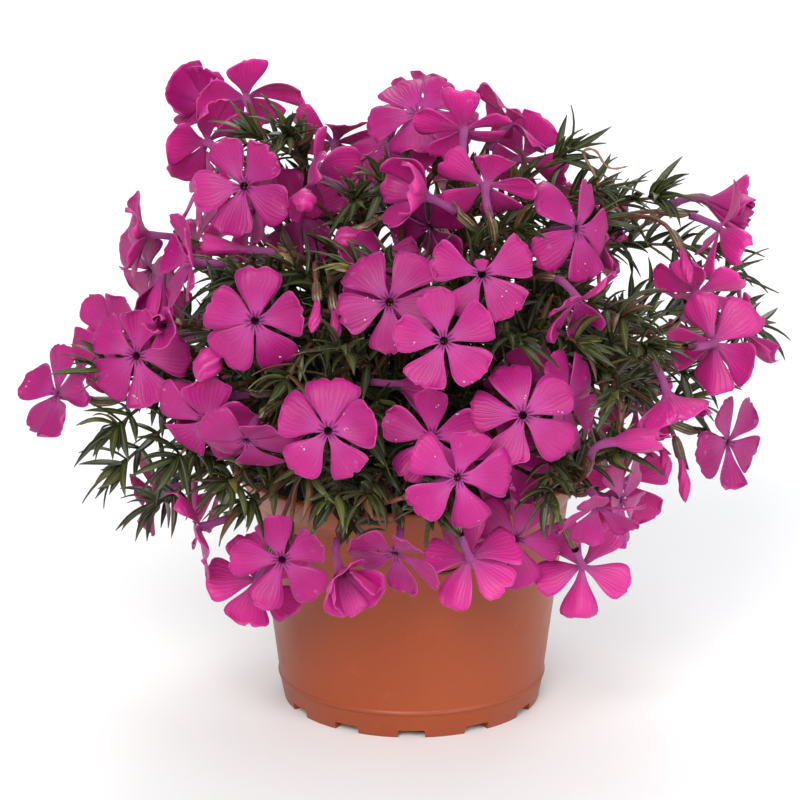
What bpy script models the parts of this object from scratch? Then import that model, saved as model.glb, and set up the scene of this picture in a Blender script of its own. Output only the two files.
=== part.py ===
"""A creeping phlox in full bloom, in a round nursery pot with a flared collar.

The plant is laid out first: where each bloom sits and which way it faces, then the stems, stalks, leafy
shoots and needle leaves that carry them, each kept clear of its neighbours. After that the solids are
made: the pot, the soil with a hole for each stem, and one body for each stem with all that grows on it.
Layout sizes are in millimetres, turned to metres when a mesh is made. The pot stands on z = 0 and its axis
is the z axis. The front of the plant is towards -y.
"""

from __future__ import annotations

import math
import random
from dataclasses import dataclass, field

import bmesh
import bpy
import numpy as np
from mathutils import Matrix, Vector

MM = 0.001
SEED = 54

# Pot
POT_HEIGHT = 69.0
RIM_RADIUS = 50.0
COLLAR_RADIUS = 43.6
COLLAR_DROP = 9.7
RING_RADIUS = 36.9
RING_HEIGHT = 7.0
FOOT_RADIUS = 35.2
FOOT_HEIGHT = 2.5
FOOT_COUNT = 12
FOOT_DEPTH = 2.6
NOTCH_WIDTH = 7.3
WALL = 1.3
FLOOR = 1.5
DRAINS = 4
DRAIN_RADIUS = 3.5
DRAIN_REACH = 22.0
POT_SIDES = 32
DRAIN_SIDES = 8
RING_STEP = 0.2
COLLAR_STEP = 0.6
LIP = 1.0
THROUGH = 12.0

# Soil
SOIL_TOP = 61.0
SOIL_BUMP = 1.0
SOIL_SIDES = 18
SOIL_RING = 0.55
SOIL_EDGE = 1.0
SOIL_WAVES = (0.31, 0.27)
HOLE_SIDES = 5
HOLE_DEPTH = 9.0
HOLE_SPACING = 4.4
GAP = 0.3

# Plant
STEM_RADIUS = 0.8
STALK_RADIUS = 0.6
CALYX_RADIUS = 1.5
CALYX_LENGTH = 9.0
TUBE_RADIUS = 1.25
TUBE_LENGTH = 8.0
THROAT_RADIUS = 1.9
PETAL_REACH = 14.2
PETAL_HALF_WIDTH = 5.0
PETAL_BODY = 0.85
LEAF_LENGTH = 13.0
LEAF_WIDTH = 1.7
LEAF_BASE = 1.5
NODE_RADIUS = 1.0
ROOT_DEPTH = 0.4
WHORL_TWIST = 0.6
PETALS = 5
SHOULDER = 8.0
PETAL_END = 13.3
PETAL_END_WIDTH = 0.62
PETAL_SPREAD = 33.0
PETAL_FALL = 1.6
STUB = 0.45
BUD_WIDTH = 1.3
BUD_SWELL = 0.11
SIDES = 3
BUD_SIDES = 4

# Room kept between the blooms, and between the paths of stems, stalks and shoots
BLOOM_GAP = 0.2
PATH_GAP = 0.8
ATTEMPTS = 150
BEND_LIMIT = 1.3
FAR = 6.0
WALL_SKIN = 0.4
WALL_SLOPE = 0.95
CURVE_POINTS = 14
PATH_STEP = 1.2
START_SKIP = 2.0
LEAF_TRIES = 5
LEAN_SPREAD = 12.0

# Crown, the dome that the blooms and shoot tips lie on
CROWN_MIDDLE = 95.0
CROWN_RADIUS = 90.0
CROWN_TOP = 177.0
CROWN_SKIRT = 60.0
CROWN_FOOT = 30.0
CROWN_DEPTH = 0.92
REAR_TOP = 150.0
CROWN_STEPS = 140
CROWN_FRONT = 100.0
NEARER_STEPS = 10
FURTHER_STEPS = 42
NEARER_COST = 1.7

# Viewpoint of the front view that the blooms are placed in, and that view's scale
EYE = Vector((0.0, -1210.0, 469.5))
AIM = Vector((-3.2, 0.0, 84.7))
VIEW_SCALE = 4667.0
VIEW_MIDDLE = 400.0


@dataclass(frozen=True)
class Bloom:
    """One flower or bud, by its place in the front view and the way it faces.

    across and down are the view's own coordinates. turn is 0 towards the viewer and 90 to the right, lift
    is upwards, petal is the direction of one petal in the view and cup how far the petals are raised.
    near moves it towards the viewer in millimetres, bud is a bud's length, missing a petal that has
    dropped.
    """

    across: float
    down: float
    turn: float
    lift: float
    petal: float = 90.0
    cup: float = 8.0
    near: float = 0.0
    size: float = 1.0
    bud: float = 0.0
    missing: int = -1


@dataclass(frozen=True)
class Tip:
    """The tuft of leaves at the end of a shoot, by its place in the front view."""

    across: float
    down: float
    near: float = 0.0


@dataclass(frozen=True)
class Plan:
    """The blooms and shoot tips that one stem of the front carries."""

    blooms: tuple
    tips: tuple


@dataclass
class PlacedBloom:
    """A bloom in space: its throat, the way it faces, and the direction of its first petal."""

    bloom: Bloom
    centre: Vector
    normal: Vector
    first: Vector

    @property
    def side(self) -> Vector:
        """The in-plane direction a quarter turn on from the first petal."""
        return self.normal.cross(self.first)


@dataclass(frozen=True)
class Whorl:
    """Needle leaves that leave a shoot together, one from each of its sides.

    distance is the way along the shoot, twist is the turn of the shoot's corners where the whorl starts,
    and tips holds the end of each leaf, or None where there is no room for it.
    """

    distance: float
    twist: float
    tips: tuple


@dataclass
class Shoot:
    """A leafy shoot: its path, its whorls and the leaf that points on from its end.

    joints are the distances along it at which stalks and other shoots leave it.
    """

    path: list
    whorls: list = field(default_factory=list)
    point: Vector | None = None
    joints: list = field(default_factory=list)


@dataclass
class Spray:
    """One stem with its own blooms and leafy shoots, as laid out."""

    name: str
    placed: list = field(default_factory=list)
    ends: list = field(default_factory=list)
    stem: Shoot = field(default_factory=lambda: Shoot([]))
    stalks: list = field(default_factory=list)
    shoots: list = field(default_factory=list)
    hole: Vector | None = None
    hub: Vector | None = None


FRONT_PLANS = (
    Plan(
        (Bloom(246, 98, -160, 35, 150, near=4), Bloom(205, 105, -25, 35, 60, 48, near=-2)),
        (Tip(285, 135, 2),),
    ),
    Plan(
        (
            Bloom(243, 186, -22, 15, 187, near=5),
            Bloom(208, 142, -140, 20, 20, near=1),
            Bloom(200, 185, -82, 10, 95, near=-4),
        ),
        (Tip(236, 150, -6),),
    ),
    Plan(
        (
            Bloom(148, 235, -75, 5, 95, 26, size=0.92),
            Bloom(192, 262, -70, 10, 100, 18, near=3),
            Bloom(150, 270, -50, -15, 170, near=1),
        ),
        (Tip(205, 292, -4),),
    ),
    Plan(
        (
            Bloom(136, 356, -15, 12, 149, near=6),
            Bloom(112, 338, -35, 15, 130, near=-4),
            Bloom(162, 277, -20, -62, 90, 58, near=4, size=0.9),
            Bloom(165, 326, -10, 20, 90, 60, near=9, size=0.75),
        ),
        (Tip(150, 425, -3),),
    ),
    Plan(
        (Bloom(57, 394, -60, 25, 210, near=24),),
        (Tip(92, 380, 22), Tip(112, 432, 12), Tip(117, 470, 10)),
    ),
    Plan(
        (Bloom(254, 212, -60, 20, 330), Bloom(251, 250, -88, 5, 90, 70, near=2)),
        (Tip(235, 285, -2),),
    ),
    Plan(
        (
            Bloom(255, 321, 0, 6, 85, near=5),
            Bloom(221, 338, -40, -48, bud=13.0, near=2),
            Bloom(177, 349, -12, 8, bud=6.5, near=1),
        ),
        (Tip(225, 300, -6),),
    ),
    Plan(
        (
            Bloom(215, 398, -88, -5, 90, 52),
            Bloom(207, 420, -15, -24, 235, near=1),
            Bloom(247, 441, -5, -38, 275, near=5),
        ),
        (Tip(170, 465, -2), Tip(212, 480, 0)),
    ),
    Plan(
        (
            Bloom(316, 177, -115, 10, 100, near=1),
            Bloom(335, 142, 175, 45, 80, near=-5),
            Bloom(307, 199, -8, 10, bud=7.5, near=7),
            Bloom(302, 214, -35, 0, 180, 28, near=-3),
        ),
        (Tip(352, 200, -8),),
    ),
    Plan(
        (
            Bloom(418, 115, -8, 48, 115, near=4),
            Bloom(392, 141, -50, 52, 165, near=2),
            Bloom(432, 108, 30, 58, 30, near=-8),
        ),
        (Tip(385, 180, -6),),
    ),
    Plan(
        (
            Bloom(464, 130, 175, 40, 90, near=5),
            Bloom(511, 123, 115, 40, 130, near=1),
            Bloom(523, 158, 140, 5, 350, near=-3),
        ),
        (Tip(568, 152, -2), Tip(600, 190, -6)),
    ),
    Plan(
        (
            Bloom(486, 186, 172, 28, 140, near=5),
            Bloom(427, 197, -65, 25, 160, 38, near=4),
            Bloom(430, 228, -40, -20, 200, near=-6),
        ),
        (Tip(520, 232, -4),),
    ),
    Plan(
        (
            Bloom(389, 302, -10, 22, 55, near=3),
            Bloom(375, 268, 50, 38, 80, near=-4),
            Bloom(362, 230, -70, -25, bud=8.0),
        ),
        (Tip(338, 290, 0),),
    ),
    Plan(
        (Bloom(444, 341, 5, 15, 27, near=8), Bloom(482, 274, 3, 20, 22, near=3, missing=1)),
        (Tip(520, 345, -3),),
    ),
    Plan(
        (
            Bloom(577, 229, 50, 10, 150, near=1),
            Bloom(597, 262, 95, 0, 88, near=-1),
            Bloom(578, 300, 50, -48, 250, near=3),
        ),
        (Tip(600, 220, -8), Tip(628, 320, -4)),
    ),
    Plan(
        (
            Bloom(702, 199, 75, -15, 0, 56, near=2, size=1.1),
            Bloom(720, 228, 85, -28, 255, near=5),
            Bloom(684, 250, 20, -62, bud=9.0, near=3),
        ),
        (Tip(662, 198, -4), Tip(738, 238, -10)),
    ),
    Plan(
        (
            Bloom(714, 343, 150, -5, 190, near=7),
            Bloom(697, 292, 160, 42, 178, near=4),
            Bloom(742, 326, 88, 10, 85, near=-4),
        ),
        (Tip(738, 275, -14), Tip(748, 334, -30)),
    ),
    Plan(
        (
            Bloom(667, 393, 30, -58, 250, 36, near=3),
            Bloom(667, 446, 0, -85, bud=9.0, near=2),
            Bloom(684, 461, 10, -78, bud=11.0, near=3),
            Bloom(728, 442, 50, 0, 270, near=1),
        ),
        (Tip(615, 392, 0), Tip(650, 348, 0)),
    ),
    Plan(
        (
            Bloom(523, 415, 0, 26, 105, near=4),
            Bloom(565, 402, 60, 10, 265, 18, near=-3),
            Bloom(541, 385, 160, 30, 95, near=-8),
        ),
        (Tip(575, 350, -4),),
    ),
    Plan(
        (Bloom(608, 443, 75, 12, 90, 62, near=3), Bloom(503, 458, 60, 25, 15, near=-2)),
        (Tip(606, 462, 3),),
    ),
    Plan(
        (
            Bloom(597, 506, 15, -52, 270, 24, near=8),
            Bloom(621, 500, 60, 0, 30, near=1),
            Bloom(582, 566, 170, -40, 268, near=6),
        ),
        (Tip(545, 500, 6),),
    ),
    Plan(
        (Bloom(398, 385, 80, -5, 90, 45, near=-2), Bloom(432, 437, -5, 10, 160, near=2)),
        (Tip(376, 440, -6), Tip(334, 350, 1)),
    ),
    Plan(
        (
            Bloom(328, 431, 0, 12, 85, near=4),
            Bloom(322, 304, -35, -55, bud=8.0, near=3),
            Bloom(336, 312, 0, -78, bud=8.0, near=3),
        ),
        (Tip(282, 386, 0), Tip(300, 465, 2)),
    ),
    Plan(
        (Bloom(457, 478, 5, 6, 75, near=9), Bloom(484, 510, 25, -22, 300, near=1)),
        (Tip(365, 500, 3),),
    ),
    Plan(
        (
            Bloom(282, 560, -5, 3, 100, near=6),
            Bloom(257, 580, -165, -42, 250, near=-2),
            Bloom(200, 527, -75, -10, 240, near=2),
        ),
        (Tip(245, 508, 0), Tip(152, 508, 2)),
    ),
    Plan(
        (Bloom(395, 554, -20, -34, 265, near=6), Bloom(340, 568, 25, -28, 180, 48, near=5)),
        (Tip(332, 500, 4),),
    ),
    Plan(
        (Bloom(470, 558, 160, -46, 250, near=7), Bloom(515, 540, 15, 8, 285, near=5)),
        (Tip(430, 515, 5),),
    ),
)

REAR_SPRAYS = 7
REAR_BLOOMS = 3
REAR_TIPS = 2
REAR_LOW = 46.0
REAR_SPAN = (95.0, 265.0)
REAR_DEPTH = 0.97
REAR_TRIES = 60
REAR_WANDER = 14.0
REAR_REACH = (0.84, 0.98)
REAR_TIP_ROOM = 4.0
REAR_POT_GAP = 1.5
REAR_LIFT = 60.0
REAR_LIFT_MIDDLE = 75.0
REAR_LIFT_SPAN = 80.0
REAR_LIFT_SPREAD = 22.0
REAR_TURN_SPREAD = 35.0
REAR_CUP = (2.0, 26.0)
REAR_PETAL_LIFT = 20.0

# Where the stems end and where they leave the soil
HUB_HEIGHT = 38.0
HUB_PULL = 0.2
HUB_INSIDE = 14.0
HUB_OVER_RIM = 8.0
HOLE_LOW = 75.0
HOLE_SPAN = 75.0
HOLE_OUTER = 33.0
HOLE_INWARD = 22.0
HOLE_TURN = 6.0
HOLE_TRIES = 80
HOLE_RING = 14

# How the stems, stalks and shoots run
STEM_FOOT = 4.0
STEM_RISE = 24.0
STEM_SAG = 10.0
STEM_ARCH = 0.45
STEM_OVER = 0.72
STEM_CLEAR = 20.0
STEM_WANDER = 0.2
STEM_COLLAR = 3.0
STALK_BACK = 3.0
STALK_STEP = 0.07
STALK_SHIFT = 0.7
STALK_SPAN = 0.6
STALK_BEND = 0.2
STALK_WANDER = 0.2
SHOOT_ROOT = 0.88
SHOOT_STEP = 0.13
SHOOT_SHIFT = 0.25
SHOOT_REACH = 0.06
SHOOT_MIDDLE = 0.45
SHOOT_ARCH = 0.2
SHOOT_WANDER = 0.15
FIRST_WHORL = 0.55
WHORL_LEANS = (68.0, 56.0, 36.0)
LEAF_SPREAD = (0.85, 1.15)

# Furthest reach of the leaves to the sides and to the front and back
REACH_X = 105.0
REACH_Y = 95.0


def view_axes() -> tuple[Vector, Vector, Vector]:
    """Right, up and forward of the front view."""
    forward = (AIM - EYE).normalized()
    right = forward.cross(Vector((0.0, 0.0, 1.0))).normalized()
    return right, right.cross(forward), forward


def sight(across: float, down: float) -> Vector:
    """The direction in which the viewer sees a place of the front view."""
    right, up, forward = view_axes()
    ray = forward * VIEW_SCALE + right * (across - VIEW_MIDDLE) - up * (down - VIEW_MIDDLE)
    return ray.normalized()


def crown_radius(height: float) -> float:
    """Radius of the crown at a height: a dome above its middle, drawn in below it."""
    if height >= CROWN_MIDDLE:
        rise = min((height - CROWN_MIDDLE) / (CROWN_TOP - CROWN_MIDDLE), 0.999)
        return CROWN_RADIUS * math.sqrt(1.0 - rise * rise)
    share = min(max((height - CROWN_FOOT) / (CROWN_MIDDLE - CROWN_FOOT), 0.0), 1.0)
    return CROWN_SKIRT + (CROWN_RADIUS - CROWN_SKIRT) * share * share * (3.0 - 2.0 * share)


def crown_place(across: float, down: float, near: float) -> Vector:
    """Where a line of sight meets the crown, or passes nearest to it, moved towards the viewer by near."""
    ray = sight(across, down)
    best = (math.inf, EYE)
    for step in range(CROWN_STEPS):
        point = EYE + ray * ((step - CROWN_FRONT - EYE.y) / ray.y)
        reach = math.hypot(point.x, point.y / CROWN_DEPTH) / crown_radius(point.z)
        if reach < best[0]:
            best = (reach, point)
        if reach <= 1.0:
            break
    return best[1] - ray * near


def facing(turn: float, lift: float) -> Vector:
    """Unit vector of a facing given by its turn from the viewer and its lift."""
    turned, lifted = math.radians(turn), math.radians(lift)
    flat = math.cos(lifted)
    return Vector((math.sin(turned) * flat, -math.cos(turned) * flat, math.sin(lifted)))


def in_plane(direction: Vector, normal: Vector) -> Vector:
    """A direction laid into the plane across a normal."""
    return (direction - normal * direction.dot(normal)).normalized()


def bezier(points: list[Vector], count: int) -> list[Vector]:
    """Evenly stepped points on the Bezier curve of a few control points."""
    curve = []
    for step in range(count):
        level = [point.copy() for point in points]
        share = step / (count - 1)
        while len(level) > 1:
            level = [a.lerp(b, share) for a, b in zip(level, level[1:])]
        curve.append(level[0])
    return curve


def along(path: list[Vector], spacing: float) -> list[Vector]:
    """Points on a path at an even spacing, both ends with them."""
    length = sum((b - a).length for a, b in zip(path, path[1:]))
    count = max(2, round(length / spacing) + 1)
    return [point_at(path, length * index / (count - 1)) for index in range(count)]


def point_at(path: list[Vector], distance: float) -> Vector:
    """The point of a path at a distance from its start."""
    for a, b in zip(path, path[1:]):
        step = (b - a).length
        if distance <= step:
            return a.lerp(b, distance / step if step else 0.0)
        distance -= step
    return path[-1].copy()


def path_length(path: list[Vector]) -> float:
    """Length of a path."""
    return sum((b - a).length for a, b in zip(path, path[1:]))


def frame_at(path: list[Vector], distance: float) -> tuple[Vector, Vector, Vector]:
    """Place, heading and sideways direction of a path at a distance from its start, or past its ends."""
    heading = (path[1] - path[0]).normalized()
    level = Vector((0.2, 0.3, 1.0)) if abs(heading.z) < 0.8 else Vector((1.0, 0.1, 0.0))
    aside = in_plane(level, heading)
    left = distance
    for a, b in zip(path, path[1:]):
        step = b - a
        heading = step.normalized()
        aside = in_plane(aside, heading)
        if left <= step.length:
            return a + heading * left, heading, aside
        left -= step.length
    return path[-1] + heading * left, heading, aside


def distance_of(path: list[Vector], place: Vector) -> float:
    """The distance along a path of its point nearest to a place."""
    best = (math.inf, 0.0)
    passed = 0.0
    for a, b in zip(path, path[1:]):
        step = b - a
        share = min(max((place - a).dot(step) / step.dot(step), 0.0), 1.0)
        best = min(best, ((a + step * share - place).length, passed + step.length * share))
        passed += step.length
    return best[1]


def bends(path: list[Vector], start: float, end: float) -> list[float]:
    """Distances between two places of a path at which it needs a corner to stay close to its curve."""
    a, b = point_at(path, start), point_at(path, end)
    chord = (b - a).normalized()
    furthest = (BEND_LIMIT, 0.0)
    passed = 0.0
    for before, point in zip(path, path[1:]):
        passed += (point - before).length
        if start + 1.0 < passed < end - 1.0:
            off = point - a
            furthest = max(furthest, ((off - chord * off.dot(chord)).length, passed))
    if not furthest[1]:
        return []
    return [*bends(path, start, furthest[1]), furthest[1], *bends(path, furthest[1], end)]


def around(heading: Vector, aside: Vector, angle: float) -> Vector:
    """The direction at an angle round a heading, from its sideways direction."""
    return aside * math.cos(angle) + heading.cross(aside) * math.sin(angle)


def petal_point(placed: PlacedBloom, petal: int, reach: float, aside: float, lifted: float = 0.0) -> Vector:
    """A point of a petal: reach out from the throat, aside across it, lifted off its face."""
    angle = math.tau * petal / PETALS
    radial = placed.first * math.cos(angle) + placed.side * math.sin(angle)
    across = placed.normal.cross(radial)
    cup = math.radians(placed.bloom.cup)
    out = reach * math.cos(cup)
    room = max(out, 0.1) * math.tan(math.radians(PETAL_SPREAD))
    aside = max(-room, min(room, aside))
    rise = reach * math.sin(cup) - PETAL_FALL * (reach / PETAL_REACH) ** 2 + lifted
    size = placed.bloom.size
    return placed.centre + (radial * out + across * aside + placed.normal * rise) * size


PETAL_BALLS = (
    (3.5, 0.0),
    (6.0, -1.3),
    (6.0, 1.3),
    (8.5, -3.2),
    (8.5, 0.0),
    (8.5, 3.2),
    (11.0, -4.6),
    (11.0, -1.6),
    (11.0, 1.6),
    (11.0, 4.6),
    (13.4, -2.8),
    (13.4, 0.0),
    (13.4, 2.8),
)
PETAL_BALL = 1.5
BUD_BALLS = (0.15, 0.4, 0.65, 0.9)
BUD_BALL = 1.9
TUBE_BALLS = (2.0, 4.0, 6.0, 8.0)


def bloom_balls(placed: PlacedBloom) -> tuple[np.ndarray, np.ndarray]:
    """Small balls that fill a bloom or a bud, as places and radii."""
    points = []
    radii = []
    if placed.bloom.bud:
        for share in BUD_BALLS:
            points.append(placed.centre + placed.normal * placed.bloom.bud * share)
            radii.append(BUD_BALL)
    else:
        for petal in range(PETALS):
            for reach, aside in PETAL_BALLS:
                points.append(petal_point(placed, petal, reach, aside))
                radii.append(PETAL_BALL)
    for distance in TUBE_BALLS:
        points.append(placed.centre - placed.normal * distance)
        radii.append(TUBE_RADIUS)
    return np.array(points), np.array(radii)


class Clearance:
    """What is already placed, as small balls, and the room that is left to it."""

    def __init__(self) -> None:
        self.places = np.zeros((0, 3))
        self.radii = np.zeros(0)
        self.owners = np.zeros(0, int)

    def add(self, points: np.ndarray, radii: np.ndarray, owner: int) -> None:
        """Adds the balls of one thing."""
        self.places = np.concatenate([self.places, points])
        self.radii = np.concatenate([self.radii, np.broadcast_to(radii, len(points))])
        self.owners = np.concatenate([self.owners, np.full(len(points), owner)])

    def room(self, points: np.ndarray, radii: np.ndarray, own: tuple = ()) -> float:
        """The smallest gap between some balls and those that aren't of the owners in own."""
        low, high = points.min(axis=0) - FAR, points.max(axis=0) + FAR
        close = ((self.places > low) & (self.places < high)).all(axis=1)
        close &= ~np.isin(self.owners, own)
        if not close.any():
            return FAR
        steps = points[:, None, :] - self.places[close][None, :, :]
        gaps = np.sqrt((steps * steps).sum(axis=2)) - self.radii[close][None, :]
        return float((gaps - np.broadcast_to(radii, len(points))[:, None]).min())


def outer_radius(height: np.ndarray) -> np.ndarray:
    """Outer radius of the pot at a height."""
    levels = (0.0, RING_HEIGHT, POT_HEIGHT - COLLAR_DROP, POT_HEIGHT)
    return np.interp(height, levels, (FOOT_RADIUS, RING_RADIUS, COLLAR_RADIUS, RIM_RADIUS))


def pot_room(points: np.ndarray, radius: float) -> float:
    """The smallest gap between some balls and the pot or its soil."""
    spread = np.hypot(points[:, 0], points[:, 1])
    height = points[:, 2]
    outer = outer_radius(height)
    inner = outer - WALL - WALL_SKIN
    above = height - POT_HEIGHT
    aside = np.maximum(spread - RIM_RADIUS, (RIM_RADIUS - WALL - WALL_SKIN) - spread)
    over_rim = np.hypot(np.maximum(aside, 0.0), above)
    beside = np.where(spread > (outer + inner) / 2, (spread - outer) * WALL_SLOPE, inner - spread)
    soil = np.where(spread < inner, height - SOIL_TOP - SOIL_BUMP, FAR)
    wall = np.where(above > 0.0, over_rim, beside)
    return float((np.minimum(wall, soil) - radius).min())


def array_of(points: list[Vector]) -> np.ndarray:
    """Vectors as the rows of an array."""
    return np.array([tuple(point) for point in points])


class Plant:
    """The layout of the whole plant, worked out spray by spray.

    In the clearance, 10 times a spray's number owns its stem, stalks, shoots and leaves, and the nine
    numbers after that own its blooms.
    """

    def __init__(self) -> None:
        self.chance = random.Random(SEED)
        self.clearance = Clearance()
        self.sprays = [Spray(f"flowering_stem_{index + 1:02d}") for index in range(len(FRONT_PLANS) + REAR_SPRAYS)]
        self.place_front_blooms()
        for number, spray in enumerate(self.sprays[len(FRONT_PLANS) :]):
            self.place_rear_blooms(number, spray)
        for spray in self.sprays:
            spray.hub = self.hub_of(spray)
        self.place_holes()
        for step in (self.grow_stem, self.grow_stalks, self.grow_shoots, self.grow_leaves):
            for index, spray in enumerate(self.sprays):
                step(10 * index, spray)

    def place_front_blooms(self) -> None:
        """Sets the front blooms on the crown, each moved along its line of sight until it is clear."""
        right, up, _ = view_axes()
        order = []
        for index, plan in enumerate(FRONT_PLANS):
            order += [(bloom, index, number + 1) for number, bloom in enumerate(plan.blooms)]
            self.sprays[index].placed = [None] * len(plan.blooms)
            self.sprays[index].ends = [crown_place(tip.across, tip.down, tip.near) for tip in plan.tips]
        order.sort(key=lambda entry: -entry[0].near)
        for bloom, index, number in order:
            start = crown_place(bloom.across, bloom.down, bloom.near)
            ray = sight(bloom.across, bloom.down)
            angle = math.radians(bloom.petal)
            normal = facing(bloom.turn, bloom.lift)
            first = in_plane(right * math.cos(angle) + up * math.sin(angle), normal)
            placed = PlacedBloom(bloom, start, normal, first)
            shifts = range(-NEARER_STEPS, FURTHER_STEPS)
            for shift in sorted(shifts, key=lambda shift: abs(shift) * (NEARER_COST if shift < 0 else 1.0)):
                placed.centre = start + ray * shift
                points, radii = bloom_balls(placed)
                if min(self.clearance.room(points, radii), pot_room(points, 1.0)) > BLOOM_GAP:
                    break
            self.sprays[index].placed[number - 1] = placed
            self.clearance.add(points, radii, 10 * index + number)

    def place_rear_blooms(self, number: int, spray: Spray) -> None:
        """Spreads the blooms and shoot tips of a spray of the back, turned outwards."""
        index = len(FRONT_PLANS) + number
        heading = REAR_SPAN[0] + (REAR_SPAN[1] - REAR_SPAN[0]) * (number + 0.5) / REAR_SPRAYS
        step = (REAR_TOP - REAR_LOW) / REAR_BLOOMS
        for place in range(REAR_BLOOMS + REAR_TIPS):
            is_tip = place >= REAR_BLOOMS
            low = REAR_LOW + step * (place % REAR_BLOOMS)
            for _ in range(REAR_TRIES):
                turn = heading + self.chance.uniform(-REAR_WANDER, REAR_WANDER)
                height = self.chance.uniform(low, low + step)
                radius = crown_radius(height * CROWN_TOP / REAR_TOP) * self.chance.uniform(*REAR_REACH)
                outward = facing(turn, 0.0)
                centre = Vector((outward.x * radius, outward.y * radius * REAR_DEPTH, height))
                if is_tip:
                    if self.clearance.room(array_of([centre]), REAR_TIP_ROOM) > 0.0:
                        spray.ends.append(centre)
                        break
                    continue
                lift = REAR_LIFT * (height - REAR_LIFT_MIDDLE) / REAR_LIFT_SPAN
                lift += self.chance.uniform(-REAR_LIFT_SPREAD, REAR_LIFT_SPREAD)
                normal = facing(turn + self.chance.uniform(-REAR_TURN_SPREAD, REAR_TURN_SPREAD), lift)
                bloom = Bloom(0.0, 0.0, 0.0, 0.0, cup=self.chance.uniform(*REAR_CUP))
                first = in_plane(facing(self.chance.uniform(0.0, 360.0), REAR_PETAL_LIFT), normal)
                placed = PlacedBloom(bloom, centre, normal, first)
                points, radii = bloom_balls(placed)
                if min(self.clearance.room(points, radii), pot_room(points, REAR_POT_GAP)) > BLOOM_GAP:
                    spray.placed.append(placed)
                    self.clearance.add(points, radii, 10 * index + len(spray.placed))
                    break

    def hub_of(self, spray: Spray) -> Vector:
        """Where a stem ends: in the middle of its calyces, drawn in, and over the rim where they hang."""
        roots = [placed.centre - placed.normal * (TUBE_LENGTH + CALYX_LENGTH) for placed in spray.placed]
        roots += spray.ends[:1]
        hub = sum(roots, Vector()) / len(roots)
        hub = hub.lerp(Vector((0.0, 0.0, SOIL_TOP + HUB_HEIGHT)), HUB_PULL)
        if math.hypot(hub.x, hub.y) > RIM_RADIUS - HUB_INSIDE:
            hub.z = max(hub.z, POT_HEIGHT + HUB_OVER_RIM)
        return hub

    def place_holes(self) -> None:
        """Gives each stem its own hole in the soil, nearer to the middle the higher the stem ends."""
        taken: list[Vector] = []
        for spray in self.sprays:
            heading = math.atan2(spray.hub.y, spray.hub.x)
            high = min(max((spray.hub.z - HOLE_LOW) / HOLE_SPAN, 0.0), 1.0)
            radius = HOLE_OUTER - HOLE_INWARD * high
            for step in range(HOLE_TRIES):
                turned = heading + math.radians(HOLE_TURN) * ((step + 1) // 2) * (-1) ** step
                hole = Vector((radius * math.cos(turned), radius * math.sin(turned), SOIL_TOP))
                if all((hole - other).length > HOLE_SPACING for other in taken):
                    break
                if step % HOLE_RING == HOLE_RING - 1:
                    radius -= HOLE_SPACING
            taken.append(hole)
            spray.hole = hole

    def wander(self, point: Vector, spread: float) -> Vector:
        """A point moved at random."""
        return point + Vector(self.chance.gauss(0.0, spread) for _ in range(3))

    def route(self, controls_of, radius: float, skip: float, own: tuple) -> tuple[float, list[Vector]]:
        """The first curve with room to spare, or else the roomiest.

        Args:
            controls_of: Gives the curve's control points for an attempt's number.
            radius: Its radius.
            skip: Length at its start that isn't tested.
            own: Owners that it may touch.

        Returns:
            The room and the points of the curve.
        """
        best = (-math.inf, [])
        for attempt in range(ATTEMPTS):
            curve = bezier(controls_of(attempt), CURVE_POINTS)
            tested = [point for point in along(curve, PATH_STEP) if (point - curve[0]).length > skip]
            points = array_of(tested or curve[-1:])
            room = min(self.clearance.room(points, radius, own), pot_room(points, radius))
            if room > best[0]:
                best = (room, curve)
            if room > PATH_GAP:
                break
        return best

    def grow_stem(self, owner: int, spray: Spray) -> None:
        """Leads the stem from its hole to its end."""
        start = Vector((spray.hole.x, spray.hole.y, SOIL_TOP + STEM_FOOT))
        rise = Vector((spray.hole.x, spray.hole.y, SOIL_TOP + STEM_RISE))
        outward = math.hypot(spray.hub.x, spray.hub.y) - math.hypot(spray.hole.x, spray.hole.y)
        height = spray.hub.z - STEM_SAG + STEM_ARCH * outward
        height = max(height, POT_HEIGHT + STEM_CLEAR)
        over = Vector((spray.hub.x * STEM_OVER, spray.hub.y * STEM_OVER, height))

        def controls(attempt: int) -> list[Vector]:
            spread = STEM_WANDER * attempt
            end = self.wander(spray.hub, spread * 0.35)
            return [start, self.wander(rise, spread * 0.5), self.wander(over, spread), end]

        _, curve = self.route(controls, STEM_RADIUS, 0.0, ())
        spray.stem.path = [Vector((start.x, start.y, SOIL_TOP - HOLE_DEPTH + GAP + ROOT_DEPTH))] + curve
        spray.stem.joints.append(HOLE_DEPTH + STEM_COLLAR)
        self.clearance.add(array_of(along(curve, PATH_STEP)), STEM_RADIUS, owner)

    def grow_stalks(self, owner: int, spray: Spray) -> None:
        """Leads a stalk from the stem to each bloom."""
        stem = spray.stem.path
        length = path_length(stem)
        for number, placed in enumerate(spray.placed):
            start = placed.centre + placed.normal * (placed.bloom.bud or -PETAL_BODY)
            behind = placed.centre - placed.normal * (TUBE_LENGTH + STALK_BACK)
            calyx = placed.centre - placed.normal * (TUBE_LENGTH + CALYX_LENGTH)

            def controls(attempt: int) -> list[Vector]:
                back = 1.0 + (length * STALK_STEP * number + attempt * STALK_SHIFT) % (length * STALK_SPAN)
                root = point_at(stem, length - back)
                bend = self.wander(calyx.lerp(root, STALK_BEND), STALK_WANDER * attempt)
                return [start, behind, bend, root]

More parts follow.
